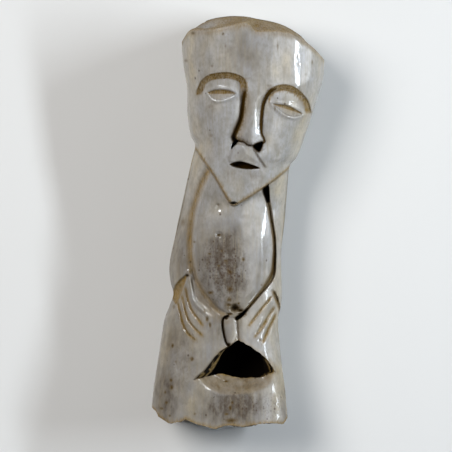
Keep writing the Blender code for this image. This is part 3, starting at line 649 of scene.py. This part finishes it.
def carved_bone():
    """The whole carving as one closed mesh, before its opening is cut."""
    closer = 1 - EDGE_SHARE * (1 - np.linspace(0, 1, EDGE_ROWS)) ** 1.6
    step = np.concatenate([np.linspace(0, EDGE_START, ROWS), closer])
    front_angle = np.linspace(-np.pi / 2, np.pi / 2, FRONT_COLUMNS)
    back_angle = np.linspace(np.pi / 2, 3 * np.pi / 2, BACK_COLUMNS)[1:-1]
    share = np.concatenate([np.sin(front_angle), np.sin(back_angle)])[None, :]
    is_front = (np.arange(share.size) < front_angle.size)[None, :]
    side = np.where(is_front, 1, -1)
    y_outer = y_inner = np.repeat(LENGTH_PARTS * step[:, None] - LENGTH_PARTS / 2, share.size, axis=1)
    for _ in range(4):
        middle, half = halves(y_outer)
        x = middle + half * share
        z = np.where(is_front, uncut_front(x, y_outer), back(x, y_outer))
        foot, head = rims(x, z)
        y_outer = foot + (head - foot) * step[:, None]
        from_top = head - y_outer
        foot, head = rims(*canal(y_inner, share, side))
        y_inner = foot + (head - foot) * step[:, None]
    shrink = TOP_ROUND * (1 - np.sqrt(1 - np.clip(1 - from_top / TOP_ROUND, 0, 1) ** 2))
    middle, half = halves(y_outer)
    x = middle + half * share
    fronts = np.broadcast_to(is_front, x.shape)
    z = back(x, y_outer)
    z[fronts] = front(x[fronts], y_outer[fronts])
    skin = np.dstack([middle + (half - shrink) * share, y_outer, z - shrink * (z - WIDEST) / WIDEST])
    skin = uneven(skin)
    x_inner, z_inner = canal(y_inner, share, side)
    lining = np.dstack([x_inner, y_inner, z_inner])
    foot_rings = rim_rings(skin[0], lining[0], 0.45, 5)
    head_rings = rim_rings(skin[-1], lining[-1], 0.2, 9)
    rings = list(skin[::-1]) + foot_rings + list(lining) + head_rings[::-1]
    count = share.size
    faces = [ring_faces(count * i, count * ((i + 1) % len(rings)), count) for i in range(len(rings))]
    return mesh_object("figurine_carving", np.vstack(rings), np.vstack(faces))


def uneven(skin):
    """The skin moved in and out a little, as hand work and wear leave it."""
    along_rows = np.gradient(skin, axis=0)
    across = np.roll(skin, -1, axis=1) - np.roll(skin, 1, axis=1)
    out = np.cross(across, along_rows)
    out = out / np.maximum(np.linalg.norm(out, axis=2, keepdims=True), 1e-9)
    x, y, z = np.moveaxis(skin, 2, 0)
    amount = 0.10 * noise(x, y, z, (5, 9, 5), 31)
    fine = 0.035 * noise(x, y, z, (1.8, 4.5, 1.8), 32) + 0.010 * noise(x, y, z, (0.8, 2.2, 0.8), 33)
    low_part = 1 + 1.6 * ramp(-50 - y, 8)
    amount = amount + fine * low_part * ramp(z - WIDEST + 4, 5)
    moved = skin + out * amount[..., None]
    moved[..., 2] = np.maximum(moved[..., 2], 0)
    return moved


def opening_cutter():
    """Loft through the front wall, narrower inward at both sides."""
    line = curve(OPENING, True, 12)[:-1]
    count = len(line)
    rings = []
    for level in OPENING_LEVELS:
        sides = np.clip((-1.0 - line[:, 0]) / 8, 0, 1) - np.clip((line[:, 0] - 8) / 6, 0, 1)
        lean = OPENING_LEAN + OPENING_LEAN_LOW * np.clip((-8 - line[:, 0]) / 5, 0, 1)
        x = line[:, 0] + lean * (OPENING_LEVEL - level) * sides
        crumbled = 0.16 + 0.22 * bump(line[:, 0] - 8.5, 4) * (line[:, 1] < -53.5)
        x = x + 0.16 * noise(line[:, 0], line[:, 1], level, (1.1, 1.1, 3), 21)
        y = line[:, 1] + crumbled * noise(line[:, 0], line[:, 1], level, (1.0, 1.0, 3), 22)
        rings.append(np.column_stack([x, y, np.full(count, level)]))
    faces = np.vstack([ring_faces((i + 1) * count, i * count, count) for i in range(len(rings) - 1)])
    mesh = bpy.data.meshes.new("opening_cutter")
    top = (len(rings) - 1) * count
    ends = [tuple(range(count)), tuple(range(top + count - 1, top - 1, -1))]
    mesh.from_pydata((np.vstack(rings) * PART).tolist(), [], ends + faces.tolist())
    mesh.update()
    return placed("opening_cutter", mesh)


def settled(thing):
    """The object's mesh with its modifiers applied."""
    bpy.context.view_layer.update()
    ready = bpy.data.meshes.new_from_object(thing.evaluated_get(bpy.context.evaluated_depsgraph_get()))
    thing.modifiers.clear()
    thing.data = ready
    return ready


def figurine_piece():
    """The finished mesh: fewer triangles where it is smooth, then the opening."""
    piece = carved_bone()
    fewer = piece.modifiers.new("fewer", "DECIMATE")
    fewer.ratio = TRIANGLES / (2 * len(piece.data.polygons))
    cutter = opening_cutter()
    cut = piece.modifiers.new("opening", "BOOLEAN")
    cut.operation = "DIFFERENCE"
    cut.solver = "EXACT"
    cut.object = cutter
    mesh = settled(piece)
    bpy.data.objects.remove(cutter, do_unlink=True)
    mesh.polygons.foreach_set("use_smooth", np.ones(len(mesh.polygons), bool))
    mesh.set_sharp_from_angle(angle=np.radians(SHARP_ANGLE))
    return piece


class Marks:
    """Points of the carving's surface and the marks on them, each from 0 to 1."""

    def __init__(self, mesh):
        points = np.empty(len(mesh.vertices) * 3)
        mesh.vertices.foreach_get("co", points)
        self.x, self.y, self.z = x, y, z = points.reshape(-1, 3).T / PART
        self.values = dict.fromkeys(("soil", "tan", "umber", "dark", "warm", "pores", "dull"), 0.0)
        self.in_front = z > WIDEST
        self.grain = noise(x, y, z, (0.9, 5, 0.9), 41)
        self.cloud = noise(x, y, z, (3.5, 6, 3.5), 42)
        self.skin = np.minimum(uncut_front(x, y) - z, np.maximum(z - back(x, y), 0) + FAR * self.in_front)
        self.foot, self.head = rims(x, z)
        self.opening = inside(curve(OPENING, True), x, y, 4)
        self.scoop = scoop_depth(x, y)
        self.lip = inside(curve(UPPER_LIP, True), x, y, 2)
        away, side, _ = follow(curve(JAW), x, y)
        self.over_jaw = side * away
        self.body = ramp(-self.over_jaw, 0.7)
        self.face = 1 - self.body

    def lay(self, **amounts):
        """Raise each mark named to this amount where it is less."""
        for name, amount in amounts.items():
            self.values[name] = np.maximum(self.values[name], amount)

    def near(self, line, reach=2):
        """Distance to a line through points, the side and the share of its length."""
        return follow(curve(line), self.x, self.y, reach)

    def within(self, line):
        """Distance to a closed line through points, positive inside it."""
        return inside(curve(line, True), self.x, self.y, 2)

    def patches(self, places):
        """Strength of each of these patches."""
        return [strength * patch(self.x, self.y, *place) for *place, strength in places]


def mark_hollow(m):
    """Painted shade, near black, in the canal over its dark inside and deep in the opening; stains on the
    opening's walls and the bevel.
    """
    x, y, z, skin = m.x, m.y, m.z, m.skin
    middle, half = halves(y)
    across = np.abs(x - middle) / np.maximum(half - wall(y), 1)
    top, bottom = along(y, FRONT) - wall(y), along(y, BACK) + wall(y)
    tall = np.abs(z - (top + bottom) / 2) / ((top - bottom) / 2)
    lining = 1 - ramp((across ** CANAL_FULLNESS + tall ** CANAL_FULLNESS) - 1.05, 0.15)
    near_end = 1 - ramp(np.minimum(y - m.foot, m.head - y), 9)
    # Painted shade: the canal's lining near black, less near its two ends, and black deeper in the opening.
    m.lay(dark=lining * (1 - 0.55 * near_end))
    m.lay(dark=ramp(m.opening, 0.5) * ramp(skin - 4.4, 1.2))
    wall_cut = ramp(m.opening + 0.25, 0.3) * (skin > 0.5) * (y > -56.5)
    flaked = ramp(noise(x, y, z, (1.3, 1.8, 1.3), 43) + 0.1, 0.25)
    inner_line = bump(skin - 4.4, 0.8) * (x < 0)
    m.lay(tan=wall_cut)
    m.lay(umber=wall_cut * (0.1 + 0.9 * flaked) * ramp(skin - 0.3, 0.8) * (1 - inner_line))
    m.lay(dark=flaked * wall_cut * ramp(4.2 - skin, 0.6) * ramp(skin - 0.4, 0.6))
    m.lay(tan=0.35 * bump(np.maximum(-m.opening, 0), 1.2))
    m.lay(tan=0.34 * ramp(m.scoop, 0.6))


def mark_brows_and_nose(m):
    """Stained edges of the jaw, the brows and the nose, painted shade in the crease beside the nose and on
    the cheek next to it, and brown under the nose that is partly painted shade.
    """
    x, y, face = m.x, m.y, m.face
    m.lay(tan=0.95 * bump(m.over_jaw + 0.1, 0.9))
    raised = inside(curve(FOREHEAD_AND_NOSE, True), x, y)
    thick = 0.9 + 1.8 * ramp(x + 16.5, 3.5) * ramp(31 - x, 6)
    on_brow = np.where(np.abs(x - 4.5) < 6.5, ramp(y - 45.5, 4.5), ramp(y - 39, 1.5)) * ramp(x + 15.6, 0.8)
    band = ramp(-raised + 0.1, 0.35) * ramp(thick + raised, 0.6) * on_brow
    m.lay(tan=0.95 * band * face)
    m.lay(umber=(0.4 * bump(raised + 0.35, 0.5) * on_brow + np.where(x < 1, 0.25, 0.14) * band) * face)
    left = m.near(BRIDGE_LEFT, 6)[0]
    beside_nose = (raised < 0.2) & (left < 5) & ((y > 30.7) | (x < -0.5))
    left_line = (0.55 * bump(raised + 0.4, 0.9) + bump(raised + 1.0, 1.25)) * beside_nose
    m.lay(umber=left_line * ramp(50 - y, 4) * face)
    # Painted shade: black deep in the crease beside the nose, and a darker cheek next to it where the nose's
    # shadow falls.
    m.lay(dark=0.3 * bump(raised + 0.9, 0.8) * beside_nose * ramp(45 - y, 8) * face)
    m.lay(dark=bump(raised + 0.8, 1.3) * beside_nose * ramp(33.5 - y, 3) * face)
    m.lay(soil=0.85 * ramp(3.6 + raised, 2.4) * beside_nose * ramp(44 - y, 9) * face)
    m.lay(tan=0.8 * bump(np.maximum(-raised, 0), 2.8) * bump(left, 4.5) * (raised < 0.2) * face)
    m.lay(tan=0.5 * bump(left, 3.0) * (raised > 0) * face * ramp(50 - y, 4))
    high_up = ramp(y - 42, 3)
    right_width = 1.05 + 0.2 * high_up - 0.45 * ramp(36 - y, 5)
    right_line = np.clip(1.6 * bump(raised + 0.5 + 0.15 * high_up, right_width), 0, 1)
    m.lay(umber=right_line * (m.near(BRIDGE_RIGHT, 6)[0] < 4) * ramp(50 - y, 2) * face)
    # Brown under the nose, partly stain and partly painted shade under it.
    below = ramp(31.5 - y, 1) * ramp(6 - x, 1.5) * ramp(x + 2, 1)
    under_nose = np.where(raised > 0, 0.6 * ramp(1.2 - raised, 0.7), bump(raised + 0.4, 0.8))
    m.lay(umber=under_nose * below * face)


def mark_eyes(m):
    """Hollows of the eyes, stained and painted with shade under the upper lid, in dull bone apart from the
    bright lines of their lids.
    """
    glint = np.max([bump(m.near(line)[0], 1.1) for line in EYE_GLINTS], axis=0)
    for eye, slant in zip(EYES, EYE_SLANTS):
        within, above = eye_place(m.x, m.y, eye, slant)
        upper_half = ramp(above, 0.6)
        # The upper half of each hollow: tan and brown, partly stain and partly painted shade under the upper
        # lid.
        m.lay(tan=ramp(within - 0.6 + 0.5 * upper_half, 0.3) * (0.3 + 0.65 * upper_half))
        m.lay(umber=0.3 * ramp(within - 0.2, 0.4) * upper_half)
        m.lay(umber=0.45 * bump(within - 0.5, 0.35) * (1 - upper_half))
        m.lay(dull=ramp(within - 0.7, 0.35))
        m.lay(dull=0.9 * ramp(within + 3.0, 1.5) * (1 - np.clip(1.7 * glint, 0, 1)))


def mark_mouth(m):
    """Dark mouth, nostrils painted black as the shade in their holes, and a stained cut at the lip's corner.
    """
    away, _, share = m.near(LIP_CORNER_CUT)
    m.lay(umber=0.7 * bump(away, 0.8) * ramp(1.02 - share, 0.2) * m.face)
    m.lay(dull=bump(away, 1.4) * m.face)
    m.lay(dull=0.6 * ramp(m.lip, 1) * m.face)
    m.lay(umber=ramp(m.within(MOUTH) + 0.25, 0.4) * m.face)
    # Painted shade: the nostril holes painted black.
    for nostril in NOSTRILS:
        m.lay(dark=ramp(m.within(nostril) + 0.2, 0.4) * (m.skin > 1))
    m.lay(umber=ramp(m.within(NOSTRILS[1]) + 0.8, 0.8) * m.face)


def mark_body(m):
    """Stained cuts of the belly, the arms, the hands and the tab, with painted black shade in the right cut's
    deep ends.
    """
    body = m.body
    m.lay(tan=0.85 * bump(m.near(ARM_VALLEY, 5)[0], 1.9) * body)
    away, side, share = m.near(BELLY_EDGE, 5)
    m.lay(tan=0.6 * bump(away, 1.8) * body)
    m.lay(tan=0.25 * ramp(-side * away, 0.6) * ramp(4.2 + side * away, 2) * ramp(share, 0.3) * body)
    across, side, share = right_cut_place(m.x, m.y)
    shade = np.where(side < 0, 0.55, 0.35) + 0.45 * bump(share - 0.52, 0.26) + ramp(share - 0.9, 0.05)
    m.lay(umber=shade * bump(across, 1.25) * body)
    # Painted shade: black in the right cut's deep hole at the top and at its lower end.
    m.lay(dark=bump(across, 1.15) * body * ((share < RIGHT_CUT_HOLE) | (share > 0.93)))
    m.lay(tan=bump(across, 1.55) * body)
    for finger in FINGERS:
        away, _, share = m.near(finger)
        ends = ramp(share + 0.05, 0.15) * ramp(1.03 - share, 0.1)
        m.lay(tan=bump(away, 1.0) * ends)
        m.lay(umber=0.42 * bump(away, 0.55) * ends * (0.75 + 0.25 * m.grain))
    m.lay(tan=0.95 * ramp(m.within(LEFT_WRIST), 0.5))
    away, _, share = m.near(RIGHT_WRIST)
    m.lay(tan=bump(away, 1.1) * ramp(share, 0.2), umber=0.6 * bump(away, 0.6) * ramp(share, 0.2))
    m.lay(umber=bump(m.near(TAB_CUT_LEFT)[0], 0.85))
    m.lay(umber=0.6 * bump(m.near(TAB_CUT_RIGHT)[0], 0.75))


def mark_spots(m):
    """Stained pits and spots with ragged edges; the strongest and the chin's pit painted black as the shade
    in them.
    """
    for place_x, place_y, wide, tall, _, stain in SPOTS:
        away = np.hypot((m.x - place_x) / wide, (m.y - place_y) / tall)
        spot = bump(away * (1 + 0.35 * m.grain), 1.5) * m.in_front
        # At strength 1 the pit is painted black as the shade deep in it.
        m.lay(tan=0.9 * stain * spot, umber=stain * spot ** 1.3, dark=0.9 * spot ** 2 * (stain == 1))
    # Painted shade: the chin's pit painted black; a stain at the left wrist.
    m.lay(dark=patch(m.x, m.y, *CHIN_PIT, 1.2), umber=0.9 * patch(m.x, m.y, *WRIST_STAIN))


def mark_rims(m):
    """Worn and stained bone along both ends."""
    x, y = m.x, m.y
    m.lay(tan=0.8 * (1 - ramp(y - m.foot - 0.4, 0.8)))
    m.lay(tan=0.8 * (1 - ramp(m.head - y - 0.5, 1.2)))
    chip = patch(x, y, *HEAD_CHIP) * m.in_front
    m.lay(tan=chip, umber=0.35 * chip * (0.6 + 0.4 * m.cloud))
    top_band = ramp(3.2 - (m.head - y), 1.2) * ramp(m.z - 12, 8)
    m.lay(tan=top_band * (0.4 + 0.3 * m.cloud))
    m.lay(dull=0.9 * top_band * (1 - 0.8 * bump(x + 7, 6)))


def mark_wear(m):
    """Warmer sides, pores, darkening from dirt and painted shade, and dull bone."""
    x, y = m.x, m.y
    middle, half = halves(y)
    warm = 0.3 + 0.5 * m.cloud + 0.25 * ramp(-y, 30) - 0.3 * patch(x, y, *COOL_FACE) * m.face
    m.lay(warm=warm + 0.8 * ramp(np.abs(x - middle) / half - 0.72, 0.25))
    m.lay(pores=sum(m.patches(PORE_PATCHES), 0.02))
    low_down = ramp(-57 - y, 4)
    # Painted shade on the bevel below the opening, a darker right edge of the foot, and dirt on the lip.
    soil = [sum(m.patches(BELLY_SOIL)), 0.6 * ramp(m.scoop, 1.5), 0.5 * ramp(x - 14.5, 2) * low_down,
            0.35 * ramp(m.lip, 1) * m.face]
    soil = np.max(soil + m.patches(SOIL_AND_SHADE_PATCHES), axis=0) * (0.75 + 0.25 * m.cloud)
    # Painted shade: the whole body darker towards the foot and on its left, as the light falls off.
    m.lay(soil=soil + 0.36 * ramp(14 - y, 26) * m.body * (1 - 0.7 * ramp(x - 6, 6)))
    for line, width, strength in DULL_LINES:
        away, _, share = m.near(line, 4)
        m.lay(dull=strength * ramp(1.5 - 1.5 * away / width, 1) * ramp(share + 0.02, 0.2))
    for amount in m.patches(DULL_PATCHES):
        m.lay(dull=amount)
    m.lay(dull=0.6 * patch(x, y, *DULL_FOOT) * (x < 11))
    m.lay(dull=0.95 * ramp(6 - np.abs(y + 54.5), 2) * ramp(x - 8, 2))
    m.lay(dull=0.62 * ramp(10 - np.abs(y + 44), 4) * ramp(x - 8, 2))
    m.lay(dull=0.4 * bump(m.near(SCOOP_EDGE, 3)[0], 2.5))
    m.lay(dull=ramp(x - 14.8, 1) * ramp(-56 - y, 3) * (y > -65))
    grit = ramp(noise(x, y, m.z, (0.8, 1.1, 0.8), 44) + 0.5, 0.6)
    m.lay(dull=(0.5 + 0.34 * grit) * ramp(x - 10.5, 2) * low_down)


def mark_bone(mesh):
    """Where the bone is stained, tan, dark, warm, pitted or dull, or soiled or painted with shade: one value
    from 0 to 1 for each vertex.
    """
    m = Marks(mesh)
    for part_marks in (mark_hollow, mark_brows_and_nose, mark_eyes, mark_mouth, mark_body, mark_spots,
                       mark_rims, mark_wear):
        part_marks(m)
    m.values["tan"] = m.values["tan"] * (0.85 + 0.15 * m.grain)
    for name, value in m.values.items():
        layer = mesh.attributes.new(name, "FLOAT", "POINT")
        layer.data.foreach_set("value", np.clip(value, 0, 1).astype(np.float32))


class Nodes:
    """Short ways to add nodes to a material."""

    def __init__(self, material):
        self.tree = material.node_tree
        self.place = self.tree.nodes.new("ShaderNodeTexCoord").outputs["Object"]

    def link(self, value, socket):
        """Set a socket from another socket or a plain value."""
        if isinstance(value, bpy.types.NodeSocket):
            self.tree.links.new(value, socket)
        else:
            socket.default_value = value

    def mark(self, name):
        """A mark of the mesh, 0 to 1."""
        node = self.tree.nodes.new("ShaderNodeAttribute")
        node.attribute_name = name
        return node.outputs["Fac"]

    def math(self, kind, first, second=0.0, clamp=False):
        """Arithmetic on two values."""
        node = self.tree.nodes.new("ShaderNodeMath")
        node.operation = kind
        node.use_clamp = clamp
        self.link(first, node.inputs[0])
        self.link(second, node.inputs[1])
        return node.outputs[0]

    def times(self, first, second, clamp=False):
        """Product of two values."""
        return self.math("MULTIPLY", first, second, clamp)

    def plus(self, first, second, clamp=False):
        """Sum of two values."""
        return self.math("ADD", first, second, clamp)

    def most(self, first, second):
        """The larger of two values."""
        return self.math("MAXIMUM", first, second)

    def stretch(self, value, low, high, to_low=0.0, to_high=1.0):
        """A value moved from one range to another, and kept in it."""
        node = self.tree.nodes.new("ShaderNodeMapRange")
        self.link(value, node.inputs["Value"])
        for name, number in (("From Min", low), ("From Max", high), ("To Min", to_low), ("To Max", to_high)):
            self.link(number, node.inputs[name])
        return node.outputs["Result"]

    def scaled(self, sizes):
        """Object place measured in features of these sizes, in metres."""
        node = self.tree.nodes.new("ShaderNodeMapping")
        node.inputs["Scale"].default_value = [1 / size for size in sizes]
        self.link(self.place, node.inputs["Vector"])
        return node.outputs["Vector"]

    def noise(self, sizes, detail=2.0):
        """Noise with features of these sizes, in metres."""
        node = self.tree.nodes.new("ShaderNodeTexNoise")
        node.inputs["Scale"].default_value = 1
        node.inputs["Detail"].default_value = detail
        self.link(self.scaled(sizes), node.inputs["Vector"])
        return node.outputs["Fac"]

    def dots(self, sizes, chance, radius):
        """Dots in some of the cells of a grid that far apart: 1 in a dot."""
        node = self.tree.nodes.new("ShaderNodeTexVoronoi")
        node.inputs["Scale"].default_value = 1
        self.link(self.scaled(sizes), node.inputs["Vector"])
        split = self.tree.nodes.new("ShaderNodeSeparateColor")
        self.link(node.outputs["Color"], split.inputs[0])
        chosen = self.math("LESS_THAN", split.outputs[0], chance)
        size = self.stretch(split.outputs[1], 0, 1, radius * 0.6, radius)
        return self.times(chosen, self.stretch(node.outputs["Distance"], size, self.times(size, 0.4)))

    def mix(self, share, first, second):
        """Colour mixed from two by a share."""
        node = self.tree.nodes.new("ShaderNodeMix")
        node.data_type = "RGBA"
        self.link(share, node.inputs["Factor"])
        for value, socket in ((first, node.inputs[6]), (second, node.inputs[7])):
            self.link((*value, 1) if isinstance(value, tuple) else value, socket)
        return node.outputs[2]


def new_material(name):
    """A new material and its shader."""
    material = bpy.data.materials.new(name)
    material.use_nodes = True
    return material, material.node_tree.nodes["Principled BSDF"]


def bone_material():
    """Old polished bone: grey ivory with grain and pores, tan and brown in the cuts, darker where dirt and
    painted shade lie, black as painted shade in deep holes and in flakes on the opening's walls.
    """
    material, shader = new_material("old_bone")
    n = Nodes(material)
    grain = n.noise(GRAIN_SIZE, 3)
    warm = n.times(n.mark("warm"), n.stretch(n.noise(CLOUD_SIZE, 3), 0.35, 0.7, 0.4, 1.2), True)
    colour = n.mix(warm, IVORY_GREY, IVORY_WARM)
    colour = n.mix(n.stretch(n.noise(MOTTLE_SIZE, 3), 0.42, 0.72, 0.0, 0.5), colour, MOTTLE)
    soil = n.times(n.mark("soil"), n.stretch(n.noise(SOIL_AND_SHADE_SIZE, 4), 0.3, 0.7, 0.6, 1.3), True)
    colour = n.mix(soil, colour, SOIL_AND_SHADE)
    colour = n.mix(n.times(n.stretch(grain, 0.50, 0.72), 0.42), colour, STREAK)
    colour = n.mix(n.stretch(n.noise(SPECKLE_SIZE, 3), 0.45, 0.75, 0.0, 0.45), colour, MOTTLE)
    ragged = n.stretch(n.noise(FINE_SIZE, 2), 0.25, 0.75, -0.35, 0.35)
    tan = n.plus(n.mark("tan"), n.times(ragged, n.mark("tan")), True)
    colour = n.mix(tan, colour, n.mix(n.stretch(grain, 0.35, 0.65), TAN, TAN_DEEP))
    edge = n.times(n.mark("umber"), n.math("SUBTRACT", 2.0, n.times(n.mark("umber"), 2.0)))
    umber = n.plus(n.mark("umber"), n.times(ragged, edge), True)
    colour = n.mix(umber, colour, UMBER)
    pores = n.mark("pores")
    small = n.times(n.stretch(n.noise(SMALL_PORE, 1), 0.5, 0.62), pores)
    middling = n.dots(MIDDLING_PORE, n.times(pores, 0.6), 0.44)
    large = n.dots(LARGE_PORE, n.times(pores, 0.5), 0.13)
    pits = n.most(n.most(n.times(small, 0.6), n.times(large, 0.7)), n.times(middling, 0.8))
    colour = n.mix(pits, colour, PORE)
    n.link(n.mix(n.mark("dark"), colour, BLACK_SHADE_AND_STAIN), shader.inputs["Base Color"])
    stained = n.most(n.times(tan, 0.75), n.most(umber, n.mark("dark")))
    spoilt = n.plus(stained, n.most(n.times(soil, 0.3), n.mark("dull")))
    rough = n.stretch(n.plus(spoilt, n.times(pits, 0.5)), 0, 1, SMOOTHEST, ROUGHEST)
    n.link(rough, shader.inputs["Roughness"])
    n.link(n.times(n.math("SUBTRACT", 1.0, spoilt, True), POLISH), shader.inputs["Coat Weight"])
    shader.inputs["Specular IOR Level"].default_value = SHEEN
    shader.inputs["Coat Roughness"].default_value = POLISH_ROUGHNESS
    relief = material.node_tree.nodes.new("ShaderNodeBump")
    relief.inputs["Strength"].default_value = RELIEF_STRENGTH
    relief.inputs["Distance"].default_value = RELIEF_HEIGHT
    n.link(n.math("SUBTRACT", n.times(grain, 0.5), pits), relief.inputs["Height"])
    n.link(relief.outputs["Normal"], shader.inputs["Normal"])
    n.link(relief.outputs["Normal"], shader.inputs["Coat Normal"])
    return material


def floor():
    """Plain pale floor."""
    bpy.ops.mesh.primitive_plane_add(size=FLOOR_SIZE, location=(0, 0, FLOOR_LEVEL))
    ground = bpy.context.object
    ground.name = "floor"
    material, shader = new_material("pale_floor")
    shader.inputs["Base Color"].default_value = FLOOR_COLOUR
    shader.inputs["Roughness"].default_value = FLOOR_ROUGHNESS
    ground.data.materials.append(material)


def soft_light(name, place, size, power, colour, mirrored):
    """An area light aimed at the figurine, either seen in the polish alone or lighting the bone alone."""
    data = bpy.data.lights.new(name, "AREA")
    data.shape = "RECTANGLE"
    data.size, data.size_y = size
    data.energy = power
    data.color = colour
    lamp = placed(name, data)
    lamp.location = place
    lamp.rotation_euler = (Vector(LIGHTS_AIM) - Vector(place)).to_track_quat("-Z", "X").to_euler()
    lamp.visible_camera = False
    lamp.visible_glossy = mirrored
    lamp.visible_diffuse = not mirrored


def studio():
    """Camera straight above the face, and the lights."""
    data = bpy.data.cameras.new("camera")
    data.sensor_width = CAMERA_SENSOR
    data.lens = CAMERA_LENS
    data.clip_end = CAMERA_REACH
    camera = placed("camera", data)
    camera.location = CAMERA_PLACE
    bpy.context.scene.camera = camera
    for light in LIGHTS:
        soft_light(*light)
    bpy.context.scene.view_settings.view_transform = "Standard"
    world = bpy.data.worlds.new("studio")
    bpy.context.scene.world = world
    world.use_nodes = True
    sky = world.node_tree.nodes["Background"]
    sky.inputs["Color"].default_value = SKY
    sky.inputs["Strength"].default_value = SKY_STRENGTH


carving = figurine_piece()
mark_bone(carving.data)
carving.data.materials.append(bone_material())
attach(carving, "root")
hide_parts("figurine")
floor()
studio()
